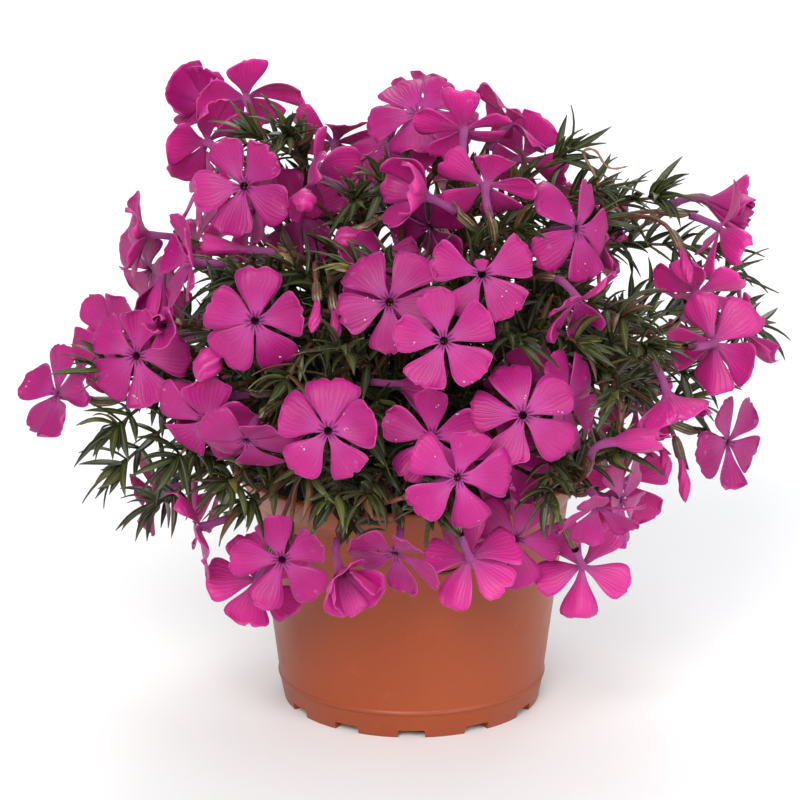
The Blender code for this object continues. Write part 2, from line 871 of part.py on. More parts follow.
            own = (owner, owner + number + 1)
            _, path = self.route(controls, STALK_RADIUS + GAP, START_SKIP, own)
            spray.stalks.append(path)
            spray.stem.joints.append(distance_of(stem, path[-1]))
        for path in spray.stalks:
            self.clearance.add(array_of(along(path, PATH_STEP)[2:]), NODE_RADIUS, owner)

    def grow_shoots(self, owner: int, spray: Spray) -> None:
        """Leads a leafy shoot from the stem to each of its tips that can be reached."""
        stem = spray.stem.path
        length = path_length(stem)
        for number, end in enumerate(spray.ends):

            def controls(attempt: int) -> list[Vector]:
                root = point_at(stem, length * (SHOOT_ROOT - SHOOT_STEP * number) - SHOOT_SHIFT * attempt)
                stop = self.wander(end, SHOOT_REACH * attempt)
                rise = SHOOT_ARCH * (stop - root).length
                arch = root.lerp(stop, SHOOT_MIDDLE) + Vector((0.0, 0.0, rise))
                return [root, self.wander(arch, SHOOT_WANDER * attempt), stop]

            room, path = self.route(controls, STALK_RADIUS + BLOOM_GAP, START_SKIP, (owner,))
            if room > GAP:
                spray.shoots.append(Shoot(path))
                spray.stem.joints.append(distance_of(stem, path[0]))
                self.clearance.add(array_of(along(path, PATH_STEP)), STALK_RADIUS, owner)

    def grow_leaves(self, owner: int, spray: Spray) -> None:
        """Sets whorls of needle leaves along the shoots and two close ones at their tips."""
        for shoot in spray.shoots:
            length = path_length(shoot.path)
            tip = length - 1.4 * LEAF_BASE
            places = zip((length * FIRST_WHORL, tip - LEAF_BASE, tip), WHORL_LEANS)
            for number, (distance, lean) in enumerate(places):
                shoot.whorls.append(self.whorl(owner, shoot.path, distance, number * WHORL_TWIST, lean))
            tip, heading, _ = frame_at(shoot.path, length)
            shoot.point = self.leaf_end(owner, tip, heading)

    def whorl(self, owner: int, path: list, distance: float, twist: float, lean: float) -> Whorl:
        """A whorl of three leaves, without those that find no room."""
        place, heading, aside = frame_at(path, distance)
        tips = []
        for side in range(SIDES):
            angle = twist + WHORL_TWIST / 2 + math.tau * (side + 0.5) / SIDES
            outward = around(heading, aside, angle)
            end = None
            for _ in range(LEAF_TRIES):
                leaned = math.radians(lean + self.chance.uniform(-LEAN_SPREAD, LEAN_SPREAD))
                direction = heading * math.cos(leaned) + outward * math.sin(leaned)
                end = end or self.leaf_end(owner, place, direction)
            tips.append(end)
        return Whorl(distance, twist, tuple(tips))

    def leaf_end(self, owner: int, base: Vector, direction: Vector) -> Vector | None:
        """The end of a leaf, or None where it would touch something."""
        end = base + direction * LEAF_LENGTH * self.chance.uniform(*LEAF_SPREAD)
        if abs(end.x) > REACH_X or abs(end.y) > REACH_Y:
            return None
        points = array_of([base.lerp(end, 0.16 + 0.14 * step) for step in range(7)])
        radii = np.array([LEAF_WIDTH / 2 * (1.0 - 0.12 * step) for step in range(7)])
        if min(self.clearance.room(points, radii, (owner,)), pot_room(points, 0.6)) < GAP:
            return None
        self.clearance.add(points, radii, owner)
        return end


def material(name: str, colour: tuple, roughness: float) -> bpy.types.Material:
    """A plain material of one colour."""
    made = bpy.data.materials.new(name)
    made.use_nodes = True
    shader = made.node_tree.nodes["Principled BSDF"]
    shader.inputs["Base Color"].default_value = (*colour, 1.0)
    shader.inputs["Roughness"].default_value = roughness
    shader.inputs["Metallic"].default_value = 0.0
    return made


def object_of(maker: bmesh.types.BMesh, name: str, collection=None) -> bpy.types.Object:
    """An object of a finished mesh, with its outside faces turned out and its size in metres."""
    bmesh.ops.recalc_face_normals(maker, faces=maker.faces)
    bmesh.ops.transform(maker, matrix=Matrix.Scale(MM, 4), verts=maker.verts)
    mesh = bpy.data.meshes.new(name)
    maker.to_mesh(mesh)
    maker.free()
    made = bpy.data.objects.new(name, mesh)
    (collection or bpy.context.scene.collection).objects.link(made)
    return made


def round_off(thing: bpy.types.Object, angle: float) -> None:
    """Smooth shading with sharp edges past an angle."""
    thing.data.shade_smooth()
    thing.data.set_sharp_from_angle(angle=math.radians(angle))


def cut(thing: bpy.types.Object, cutter: bpy.types.Object, name: str) -> None:
    """Takes a cutter out of an object."""
    cutter.hide_render = True
    cutter.display_type = "WIRE"
    boolean = thing.modifiers.new(name, "BOOLEAN")
    boolean.operation = "DIFFERENCE"
    boolean.object = cutter


def add_turned(maker: bmesh.types.BMesh, profile: list[tuple[float, float]], sides: int) -> None:
    """Spins a profile of radius and height, with both ends on the z axis, round that axis."""
    corners = [maker.verts.new((radius, 0.0, height)) for radius, height in profile]
    edges = [maker.edges.new(pair) for pair in zip(corners, corners[1:])]
    bmesh.ops.spin(
        maker,
        geom=corners + edges,
        cent=(0.0, 0.0, 0.0),
        axis=(0.0, 0.0, 1.0),
        angle=math.tau,
        steps=sides,
        use_merge=True,
        use_duplicate=False,
    )
    bmesh.ops.remove_doubles(maker, verts=maker.verts, dist=0.001)


def make_pot() -> bpy.types.Object:
    """The pot: a turned shell with a flared collar, cut by the notches between its feet and its drains."""
    collar = POT_HEIGHT - COLLAR_DROP
    floor_top = FOOT_HEIGHT + FLOOR
    profile = [
        (0.0, FOOT_HEIGHT),
        (FOOT_RADIUS - FOOT_DEPTH, FOOT_HEIGHT),
        (FOOT_RADIUS - FOOT_DEPTH, 0.0),
        (FOOT_RADIUS, 0.0),
        (RING_RADIUS, RING_HEIGHT),
        (RING_RADIUS - RING_STEP, RING_HEIGHT + LIP),
        (COLLAR_RADIUS - COLLAR_STEP, collar - COLLAR_STEP),
        (COLLAR_RADIUS, collar),
        (RIM_RADIUS, POT_HEIGHT - LIP),
        (RIM_RADIUS - WALL, POT_HEIGHT),
        (COLLAR_RADIUS - WALL, collar),
        (FOOT_RADIUS - WALL, floor_top),
        (0.0, floor_top),
    ]
    maker = bmesh.new()
    add_turned(maker, profile, POT_SIDES)
    pot = object_of(maker, "pot")

    maker = bmesh.new()
    for number in range(FOOT_COUNT):
        angle = math.tau * number / FOOT_COUNT - math.pi / 2
        place = Matrix.Rotation(angle, 4, "Z") @ Matrix.Translation((FOOT_RADIUS, 0.0, 0.0))
        size = Matrix.Diagonal((THROUGH, NOTCH_WIDTH, (FOOT_HEIGHT - GAP) * 2, 1.0))
        bmesh.ops.create_cube(maker, size=1.0, matrix=place @ size)
    cut(pot, object_of(maker, "notch_cutter"), "Notches")

    maker = bmesh.new()
    for number in range(DRAINS):
        angle = math.tau * (number + 0.5) / DRAINS
        place = Matrix.Rotation(angle, 4, "Z") @ Matrix.Translation((DRAIN_REACH, 0.0, FOOT_HEIGHT))
        radii = {"radius1": DRAIN_RADIUS, "radius2": DRAIN_RADIUS}
        bmesh.ops.create_cone(maker, cap_ends=True, segments=DRAIN_SIDES, depth=THROUGH / 2, matrix=place, **radii)
    cut(pot, object_of(maker, "drain_cutter"), "Drains")
    round_off(pot, 35.0)
    return pot


def make_soil(holes: list[Vector]) -> bpy.types.Object:
    """The soil: a plug with an uneven top and a plain hole for each stem."""
    low = FOOT_HEIGHT + FLOOR + GAP
    collar = POT_HEIGHT - COLLAR_DROP
    flare = (RIM_RADIUS - COLLAR_RADIUS) * (SOIL_TOP - collar) / COLLAR_DROP
    room = WALL + 2 * GAP
    rim = COLLAR_RADIUS + flare - room
    profile = [(0.0, low), (FOOT_RADIUS - room, low), (COLLAR_RADIUS - room, collar), (rim, SOIL_TOP)]
    profile += [(rim * SOIL_RING, SOIL_TOP), (0.0, SOIL_TOP)]
    maker = bmesh.new()
    add_turned(maker, profile, SOIL_SIDES)
    for vertex in maker.verts:
        if vertex.co.z > SOIL_TOP - GAP and math.hypot(vertex.co.x, vertex.co.y) < rim - SOIL_EDGE:
            wave = math.sin(vertex.co.x * SOIL_WAVES[0] + 1.0) * math.cos(vertex.co.y * SOIL_WAVES[1])
            vertex.co.z += SOIL_BUMP * wave
    bmesh.ops.triangulate(maker, faces=maker.faces)
    soil = object_of(maker, "soil")

    maker = bmesh.new()
    radius = STEM_RADIUS + GAP * 2.5
    for hole in holes:
        place = Matrix.Translation((hole.x, hole.y, SOIL_TOP))
        radii = {"radius1": radius, "radius2": radius}
        bmesh.ops.create_cone(
            maker, cap_ends=True, segments=HOLE_SIDES, depth=HOLE_DEPTH * 2, matrix=place, **radii
        )
    cut(soil, object_of(maker, "hole_cutter"), "Stem holes")
    round_off(soil, 40.0)
    return soil


def add_tube(maker: bmesh.types.BMesh, path: list[Vector], stops: list[tuple], sides: int = SIDES) -> list:
    """A closed tube along a path.

    Args:
        maker: The mesh to add it to.
        path: Its axis.
        stops: Distance along the path, radius and twist of each of its rings.
        sides: Number of its sides.

    Returns:
        The faces of each span, side by side, then the face of the far end alone.
    """
    rings = []
    for distance, radius, twist in stops:
        place, heading, aside = frame_at(path, distance)
        turns = [twist + math.tau * side / sides for side in range(sides)]
        rings.append([maker.verts.new(place + around(heading, aside, turn) * radius) for turn in turns])
    spans = []
    for lower, upper in zip(rings, rings[1:]):
        pairs = [(side, (side + 1) % sides) for side in range(sides)]
        spans.append([maker.faces.new((lower[a], lower[b], upper[b], upper[a])) for a, b in pairs])
    maker.faces.new(rings[0][::-1])
    return [*spans, [maker.faces.new(rings[-1])]]


def spike(maker: bmesh.types.BMesh, face: bmesh.types.BMFace, tip: Vector) -> None:
    """Draws a face out to a point."""
    raised = bmesh.ops.poke(maker, faces=[face])
    raised["verts"][0].co = tip


def add_shoot(maker: bmesh.types.BMesh, shoot: Shoot, radius: float) -> None:
    """A shoot with its whorls of leaves, each leaf drawn out of the side of a short, thicker span."""
    length = path_length(shoot.path)
    last_twist = shoot.whorls[-1].twist + WHORL_TWIST if shoot.whorls else 0.0
    stops = [(-ROOT_DEPTH, radius, 0.0), (length, radius, last_twist)]
    stops += [(joint, NODE_RADIUS, 0.0) for joint in shoot.joints]
    for whorl in shoot.whorls:
        stops.append((whorl.distance - LEAF_BASE / 2, NODE_RADIUS, whorl.twist))
        stops.append((whorl.distance + LEAF_BASE / 2, NODE_RADIUS, whorl.twist + WHORL_TWIST))
    stops.sort()
    stops = [stops[0]] + [b for a, b in zip(stops, stops[1:]) if b[0] - a[0] > GAP]
    filled = stops[:1]
    for stop in stops[1:]:
        last = filled[-1]
        filled += [(distance, radius, last[2]) for distance in bends(shoot.path, last[0], stop[0])]
        filled.append(stop)
    spans = add_tube(maker, shoot.path, filled)
    for whorl in shoot.whorls:
        number = next(index for index, stop in enumerate(filled) if stop[0] > whorl.distance) - 1
        for face, tip in zip(spans[number], whorl.tips):
            if tip:
                spike(maker, face, tip)
    if shoot.point:
        spike(maker, spans[-1][0], shoot.point)


def add_flower(maker: bmesh.types.BMesh, placed: PlacedBloom, path: list[Vector]) -> None:
    """Five thin petals round a throat, and the tube, calyx and stalk behind them."""
    waists = []
    notches = []
    for petal in range(PETALS):
        waist = petal_point(placed, petal - 0.5, TUBE_RADIUS, 0.0, -PETAL_BODY)
        waists.append(maker.verts.new(waist))
        notches.append(maker.verts.new(petal_point(placed, petal - 0.5, THROAT_RADIUS, 0.0)))
    maker.faces.new(notches)
    for petal in range(PETALS):
        after = (petal + 1) % PETALS
        reach = STUB if petal == placed.bloom.missing else 1.0
        outline = [(SHOULDER, -1.0), (PETAL_END, -PETAL_END_WIDTH), (PETAL_END, PETAL_END_WIDTH), (SHOULDER, 1.0)]
        rim = [
            maker.verts.new(petal_point(placed, petal, out * reach, side * PETAL_HALF_WIDTH * reach))
            for out, side in outline
        ]
        rib = maker.verts.new(petal_point(placed, petal, SHOULDER * reach, 0.0, PETAL_BODY))
        upper = [notches[petal], *rim, notches[after]]
        for one, two in zip(upper, upper[1:] + upper[:1]):
            maker.faces.new((rib, one, two))
        one, two, three, four = rim
        first, last = waists[petal], waists[after]
        maker.faces.new((notches[petal], first, one))
        maker.faces.new((notches[after], four, last))
        maker.faces.new((first, last, four))
        maker.faces.new((first, four, one))
        maker.faces.new((one, four, three))
        maker.faces.new((one, three, two))
    add_stalk(maker, waists[::-1], path)


def stalk_stops(path: list[Vector], start: list[tuple]) -> list[tuple]:
    """The rings of a stalk: those given at its start, then the thin stalk down to its root."""
    length = path_length(path)
    stops = [stop for stop in start if stop[0] < length - STALK_BACK]
    stops += [(distance, STALK_RADIUS) for distance in bends(path, stops[-1][0], length)]
    return [*stops, (length + ROOT_DEPTH, STALK_RADIUS)]


def add_stalk(maker: bmesh.types.BMesh, waist: list[bmesh.types.BMVert], path: list[Vector]) -> None:
    """The tube, calyx and stalk, from the five corners under the petals down to the stem."""
    start = [(TUBE_LENGTH + 2.0, CALYX_RADIUS), (TUBE_LENGTH + CALYX_LENGTH, STALK_RADIUS)]
    middle = (waist[0].co + waist[1].co) / 2 - sum((corner.co for corner in waist), Vector()) / PETALS
    place, heading, aside = frame_at(path, TUBE_LENGTH)
    twist = math.atan2(middle.dot(heading.cross(aside)), middle.dot(aside))
    stops = [(distance, radius, twist) for distance, radius in stalk_stops(path, start)]
    before = len(maker.faces)
    spans = add_tube(maker, path, stops)
    maker.faces.ensure_lookup_table()
    ring = list(maker.faces[before + SIDES * (len(spans) - 1)].verts)[::-1]
    bmesh.ops.delete(maker, geom=[maker.faces[before + SIDES * (len(spans) - 1)]], context="FACES_ONLY")
    corners = (0, 0, 1, 1, 2)
    for number, corner in enumerate(corners):
        after = (number + 1) % PETALS
        face = [waist[number], waist[after], ring[corners[after]], ring[corner]]
        maker.faces.new(face[: 3 + (corners[after] != corner)])


def add_bud(maker: bmesh.types.BMesh, placed: PlacedBloom, path: list[Vector]) -> None:
    """A closed bud with its calyx and stalk."""
    length = placed.bloom.bud
    width = BUD_WIDTH + BUD_SWELL * length
    start = [
        (0.0, GAP),
        (length * 0.35, width),
        (length * 0.75, width * 0.8),
        (length + 1.5, CALYX_RADIUS),
        (length + CALYX_LENGTH * 0.8, STALK_RADIUS),
    ]
    stops = [(distance, radius, 0.0) for distance, radius in stalk_stops(path, start)]
    add_tube(maker, path, stops, BUD_SIDES)


def shells_of(maker: bmesh.types.BMesh) -> list[list]:
    """The faces of each separate shell of a mesh, the largest last."""
    left = set(maker.faces)
    shells = []
    while left:
        front = [left.pop()]
        shell = []
        while front:
            face = front.pop()
            shell.append(face)
            fresh = {other for edge in face.edges for other in edge.link_faces} & left
            left -= fresh
            front += fresh
        shells.append(shell)
    return sorted(shells, key=len)


def make_spray(spray: Spray) -> bpy.types.Object:
    """One stem with its shoots, leaves, stalks and blooms, joined into one body."""
    maker = bmesh.new()
    add_shoot(maker, spray.stem, STEM_RADIUS)
    stem = object_of(maker, spray.name)
    pieces = bpy.data.collections.new("pieces")
    for shoot in spray.shoots:
        maker = bmesh.new()
        add_shoot(maker, shoot, STALK_RADIUS)
        object_of(maker, "shoot", pieces)
    for placed, path in zip(spray.placed, spray.stalks):
        maker = bmesh.new()
        if placed.bloom.bud:
            add_bud(maker, placed, path)
        else:
            add_flower(maker, placed, path)
        object_of(maker, "bloom", pieces)

    union = stem.modifiers.new("Join", "BOOLEAN")
    union.operation = "UNION"
    union.operand_type = "COLLECTION"
    union.collection = pieces
    union.solver = "EXACT"
    graph = bpy.context.evaluated_depsgraph_get()
    joined = bpy.data.meshes.new_from_object(stem.evaluated_get(graph))
    stem.modifiers.remove(union)
    maker = bmesh.new()
    maker.from_mesh(joined)
    for shell in shells_of(maker)[:-1]:
        bmesh.ops.delete(maker, geom=shell, context="FACES")
    maker.to_mesh(joined)
    maker.free()
    stem.data = joined
    for piece in list(pieces.objects):
        bpy.data.objects.remove(piece)
    bpy.data.collections.remove(pieces)
    round_off(stem, 40.0)
    return stem


def main() -> None:
    """Clears the scene and builds the potted plant in it."""
    for thing in list(bpy.data.objects):
        bpy.data.objects.remove(thing)
    plant = Plant()
    pot = make_pot()
    pot.data.materials.append(material("terracotta_plastic", (0.42, 0.13, 0.05), 0.42))
    soil = make_soil([spray.hole for spray in plant.sprays])
    soil.data.materials.append(material("potting_soil", (0.02, 0.013, 0.01), 0.95))
    for number, spray in enumerate(plant.sprays):
        made = make_spray(spray)
        made.data.materials.clear()
        made.data.materials.append(material(f"phlox_{number + 1:02d}", (0.58, 0.03, 0.26), 0.5))


main()
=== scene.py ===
"""The looks of a creeping phlox in full bloom in its nursery pot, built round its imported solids.

The plant is laid out by the same rule and the same random draws as its solids, so that every fine petal,
calyx, stem and needle leaf lies where its solid is. Layout sizes are in millimetres and are turned to metres
when a piece is finished.
"""

from __future__ import annotations

import sys
import logging
import math
import random
from collections.abc import Callable
from dataclasses import dataclass, field
from enum import Enum

import bmesh
import bpy
import numpy as np
from mathutils import Matrix, Vector, noise


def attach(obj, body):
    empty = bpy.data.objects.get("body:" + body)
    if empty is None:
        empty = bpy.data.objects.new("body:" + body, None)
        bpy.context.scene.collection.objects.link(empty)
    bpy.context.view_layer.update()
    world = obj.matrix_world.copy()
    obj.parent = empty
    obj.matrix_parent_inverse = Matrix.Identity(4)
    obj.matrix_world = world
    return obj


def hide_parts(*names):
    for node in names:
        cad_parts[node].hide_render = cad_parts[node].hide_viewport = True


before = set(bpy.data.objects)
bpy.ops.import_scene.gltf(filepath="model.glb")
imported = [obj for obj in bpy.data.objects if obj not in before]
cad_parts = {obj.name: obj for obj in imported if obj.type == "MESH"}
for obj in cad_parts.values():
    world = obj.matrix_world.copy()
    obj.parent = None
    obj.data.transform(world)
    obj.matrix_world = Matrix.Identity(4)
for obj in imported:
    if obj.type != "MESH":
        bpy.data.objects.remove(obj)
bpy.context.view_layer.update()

log = logging.getLogger("phlox")

MM = 0.001
SEED = 54

# How near corners are joined, how long a tube's map is and how far its end is drawn out
WELD = 0.001
MAP_LENGTH = 20.0
TUBE_TIP = 0.8

# Part of the range of plain noise that mottling uses
SOFT_NOISE = (0.3, 0.7)

# Pot
POT_HEIGHT = 69.0
RIM_RADIUS = 50.0
COLLAR_RADIUS = 43.6
COLLAR_DROP = 9.7
RING_RADIUS = 36.9
RING_HEIGHT = 7.0
FOOT_RADIUS = 35.2
FOOT_HEIGHT = 2.5
FOOT_COUNT = 12
FOOT_DEPTH = 2.6
NOTCH_WIDTH = 7.3
WALL = 1.3
FLOOR = 1.5
DRAINS = 4
DRAIN_RADIUS = 3.5
DRAIN_REACH = 22.0

# Soil
SOIL_TOP = 61.0
SOIL_BUMP = 1.0
SOIL_WAVES = (0.31, 0.27)
HOLE_DEPTH = 9.0
HOLE_SPACING = 4.4
GAP = 0.3

# Plant
STEM_RADIUS = 0.8
STALK_RADIUS = 0.6
CALYX_LENGTH = 9.0
TUBE_RADIUS = 1.25
TUBE_LENGTH = 8.0
PETAL_REACH = 14.2
PETAL_BODY = 0.85
LEAF_LENGTH = 13.0
LEAF_WIDTH = 1.7
LEAF_BASE = 1.5
NODE_RADIUS = 1.0
ROOT_DEPTH = 0.4
WHORL_TWIST = 0.6
PETALS = 5
PETAL_SPREAD = 33.0
PETAL_FALL = 1.6
SIDES = 3

# Room kept between the blooms, and between the paths of stems, stalks and shoots
BLOOM_GAP = 0.2
PATH_GAP = 0.8
ATTEMPTS = 150
FAR = 6.0
WALL_SKIN = 0.4
WALL_SLOPE = 0.95
CURVE_POINTS = 14
PATH_STEP = 1.2
START_SKIP = 2.0
OWNER_STEP = 10
POT_GAP = 1.0
LEAF_TRIES = 5
LEAN_SPREAD = 12.0
LEAF_BALLS = 7
LEAF_BALL_START = 0.16
LEAF_BALL_STEP = 0.14
LEAF_BALL_TAPER = 0.12
LEAF_POT_GAP = 0.6

# Sideways directions of a path, and the steepness past which the second one is taken
FLAT_ASIDE = Vector((0.2, 0.3, 1.0))
STEEP_ASIDE = Vector((1.0, 0.1, 0.0))
STEEP = 0.8

# Crown, the dome that the blooms and shoot tips lie on
CROWN_MIDDLE = 95.0
CROWN_RADIUS = 90.0
CROWN_TOP = 177.0
CROWN_SKIRT = 60.0
CROWN_FOOT = 30.0
CROWN_DEPTH = 0.92
REAR_TOP = 150.0
CROWN_STEPS = 140
CROWN_FRONT = 100.0
NEARER_STEPS = 10
FURTHER_STEPS = 42
NEARER_COST = 1.7

# Viewpoint of the front view that the blooms are placed in, and that view's scale
EYE = Vector((0.0, -1210.0, 469.5))
AIM = Vector((-3.2, 0.0, 84.7))
VIEW_SCALE = 4667.0
VIEW_MIDDLE = 400.0


@dataclass(frozen=True)
class Bloom:
    """One flower or bud, by its place in the front view and the way it faces.

    across and down are the view's own coordinates. turn is 0 towards the viewer and 90 to the right, lift
    is upwards, petal is the direction of one petal in the view and cup how far the petals are raised.
    near moves it towards the viewer in millimetres, bud is a bud's length, missing a petal that has
    dropped.
    """

    across: float
    down: float
    turn: float
    lift: float
    petal: float = 90.0
    cup: float = 8.0
    near: float = 0.0
    size: float = 1.0
    bud: float = 0.0
    missing: int = -1


@dataclass(frozen=True)
class Tip:
    """The tuft of leaves at the end of a shoot, by its place in the front view."""

    across: float
    down: float
    near: float = 0.0


@dataclass(frozen=True)
class Plan:
    """The blooms and shoot tips that one stem of the front carries."""

    blooms: tuple
    tips: tuple


@dataclass
class PlacedBloom:
    """A bloom in space: its throat, the way it faces, and the direction of its first petal."""

    bloom: Bloom
    centre: Vector
    normal: Vector
    first: Vector

    @property
    def side(self) -> Vector:
        """The in-plane direction a quarter turn on from the first petal."""
        return self.normal.cross(self.first)

    def radial(self, angle: float) -> Vector:
        """The in-plane direction at an angle from the first petal."""
        return self.first * math.cos(angle) + self.side * math.sin(angle)


@dataclass(frozen=True)
class Whorl:
    """Needle leaves that leave a shoot together, one from each of its sides.

    distance is the way along the shoot, twist is the turn of the shoot's corners where the whorl starts,
    and tips holds the end of each leaf, or None where there is no room for it.
    """

    distance: float
    twist: float
    tips: tuple


@dataclass
class Shoot:
    """A leafy shoot: its path, its whorls and the leaf that points on from its end."""

    path: list
    whorls: list = field(default_factory=list)
    point: Vector | None = None


@dataclass
class Spray:
    """One stem with its own blooms and leafy shoots, as laid out, and its number in the clearance."""

    name: str
    owner: int
    placed: list = field(default_factory=list)
    ends: list = field(default_factory=list)
    stem: Shoot = field(default_factory=lambda: Shoot([]))
    stalks: list = field(default_factory=list)
    shoots: list = field(default_factory=list)
    hole: Vector | None = None
    hub: Vector | None = None


FRONT_PLANS = (
    Plan((Bloom(246, 98, -160, 35, 150, near=4), Bloom(205, 105, -25, 35, 60, 48, near=-2)),
          (Tip(285, 135, 2),)),
    Plan((Bloom(243, 186, -22, 15, 187, near=5), Bloom(208, 142, -140, 20, 20, near=1),
          Bloom(200, 185, -82, 10, 95, near=-4)), (Tip(236, 150, -6),)),
    Plan((Bloom(148, 235, -75, 5, 95, 26, size=0.92), Bloom(192, 262, -70, 10, 100, 18, near=3),
          Bloom(150, 270, -50, -15, 170, near=1)), (Tip(205, 292, -4),)),
    Plan((Bloom(136, 356, -15, 12, 149, near=6), Bloom(112, 338, -35, 15, 130, near=-4),
          Bloom(162, 277, -20, -62, 90, 58, near=4, size=0.9),
          Bloom(165, 326, -10, 20, 90, 60, near=9, size=0.75)), (Tip(150, 425, -3),)),
    Plan((Bloom(57, 394, -60, 25, 210, near=24),), (Tip(92, 380, 22), Tip(112, 432, 12), Tip(117, 470, 10))),
    Plan((Bloom(254, 212, -60, 20, 330), Bloom(251, 250, -88, 5, 90, 70, near=2)), (Tip(235, 285, -2),)),
    Plan((Bloom(255, 321, 0, 6, 85, near=5), Bloom(221, 338, -40, -48, bud=13.0, near=2),
          Bloom(177, 349, -12, 8, bud=6.5, near=1)), (Tip(225, 300, -6),)),
    Plan((Bloom(215, 398, -88, -5, 90, 52), Bloom(207, 420, -15, -24, 235, near=1),
          Bloom(247, 441, -5, -38, 275, near=5)), (Tip(170, 465, -2), Tip(212, 480, 0))),
    Plan((Bloom(316, 177, -115, 10, 100, near=1), Bloom(335, 142, 175, 45, 80, near=-5),
          Bloom(307, 199, -8, 10, bud=7.5, near=7), Bloom(302, 214, -35, 0, 180, 28, near=-3)),
          (Tip(352, 200, -8),)),
    Plan((Bloom(418, 115, -8, 48, 115, near=4), Bloom(392, 141, -50, 52, 165, near=2),
          Bloom(432, 108, 30, 58, 30, near=-8)), (Tip(385, 180, -6),)),
    Plan((Bloom(464, 130, 175, 40, 90, near=5), Bloom(511, 123, 115, 40, 130, near=1),
          Bloom(523, 158, 140, 5, 350, near=-3)), (Tip(568, 152, -2), Tip(600, 190, -6))),
    Plan((Bloom(486, 186, 172, 28, 140, near=5), Bloom(427, 197, -65, 25, 160, 38, near=4),
          Bloom(430, 228, -40, -20, 200, near=-6)), (Tip(520, 232, -4),)),
    Plan((Bloom(389, 302, -10, 22, 55, near=3), Bloom(375, 268, 50, 38, 80, near=-4),
          Bloom(362, 230, -70, -25, bud=8.0)), (Tip(338, 290, 0),)),
    Plan((Bloom(444, 341, 5, 15, 27, near=8), Bloom(482, 274, 3, 20, 22, near=3, missing=1)),
          (Tip(520, 345, -3),)),
    Plan((Bloom(577, 229, 50, 10, 150, near=1), Bloom(597, 262, 95, 0, 88, near=-1),
          Bloom(578, 300, 50, -48, 250, near=3)), (Tip(600, 220, -8), Tip(628, 320, -4))),
    Plan((Bloom(702, 199, 75, -15, 0, 56, near=2, size=1.1), Bloom(720, 228, 85, -28, 255, near=5),
          Bloom(684, 250, 20, -62, bud=9.0, near=3)), (Tip(662, 198, -4), Tip(738, 238, -10))),
    Plan((Bloom(714, 343, 150, -5, 190, near=7), Bloom(697, 292, 160, 42, 178, near=4),
          Bloom(742, 326, 88, 10, 85, near=-4)), (Tip(738, 275, -14), Tip(748, 334, -30))),
    Plan((Bloom(667, 393, 30, -58, 250, 36, near=3), Bloom(667, 446, 0, -85, bud=9.0, near=2),
          Bloom(684, 461, 10, -78, bud=11.0, near=3), Bloom(728, 442, 50, 0, 270, near=1)), (Tip(615, 392, 0),
          Tip(650, 348, 0))),
    Plan((Bloom(523, 415, 0, 26, 105, near=4), Bloom(565, 402, 60, 10, 265, 18, near=-3),
          Bloom(541, 385, 160, 30, 95, near=-8)), (Tip(575, 350, -4),)),
    Plan((Bloom(608, 443, 75, 12, 90, 62, near=3), Bloom(503, 458, 60, 25, 15, near=-2)),
          (Tip(606, 462, 3),)),
    Plan((Bloom(597, 506, 15, -52, 270, 24, near=8), Bloom(621, 500, 60, 0, 30, near=1),
          Bloom(582, 566, 170, -40, 268, near=6)), (Tip(545, 500, 6),)),
    Plan((Bloom(398, 385, 80, -5, 90, 45, near=-2), Bloom(432, 437, -5, 10, 160, near=2)), (Tip(376, 440, -6),
          Tip(334, 350, 1))),
    Plan((Bloom(328, 431, 0, 12, 85, near=4), Bloom(322, 304, -35, -55, bud=8.0, near=3),
          Bloom(336, 312, 0, -78, bud=8.0, near=3)), (Tip(282, 386, 0), Tip(300, 465, 2))),
    Plan((Bloom(457, 478, 5, 6, 75, near=9), Bloom(484, 510, 25, -22, 300, near=1)), (Tip(365, 500, 3),)),
    Plan((Bloom(282, 560, -5, 3, 100, near=6), Bloom(257, 580, -165, -42, 250, near=-2),
          Bloom(200, 527, -75, -10, 240, near=2)), (Tip(245, 508, 0), Tip(152, 508, 2))),
    Plan((Bloom(395, 554, -20, -34, 265, near=6), Bloom(340, 568, 25, -28, 180, 48, near=5)),
          (Tip(332, 500, 4),)),
    Plan((Bloom(470, 558, 160, -46, 250, near=7), Bloom(515, 540, 15, 8, 285, near=5)), (Tip(430, 515, 5),)),
)

REAR_SPRAYS = 7
REAR_BLOOMS = 3
REAR_TIPS = 2
REAR_LOW = 46.0
REAR_SPAN = (95.0, 265.0)
REAR_DEPTH = 0.97
REAR_TRIES = 60
REAR_WANDER = 14.0
REAR_REACH = (0.84, 0.98)
REAR_TIP_ROOM = 4.0
REAR_POT_GAP = 1.5
REAR_LIFT = 60.0
REAR_LIFT_MIDDLE = 75.0
REAR_LIFT_SPAN = 80.0
REAR_LIFT_SPREAD = 22.0
REAR_TURN_SPREAD = 35.0
REAR_CUP = (2.0, 26.0)
REAR_PETAL_LIFT = 20.0

# Where the stems end and where they leave the soil
HUB_HEIGHT = 38.0
HUB_PULL = 0.2
HUB_INSIDE = 14.0
HUB_OVER_RIM = 8.0
HOLE_LOW = 75.0
HOLE_SPAN = 75.0
HOLE_OUTER = 33.0
HOLE_INWARD = 22.0
HOLE_TURN = 6.0
HOLE_TRIES = 80
HOLE_RING = 14

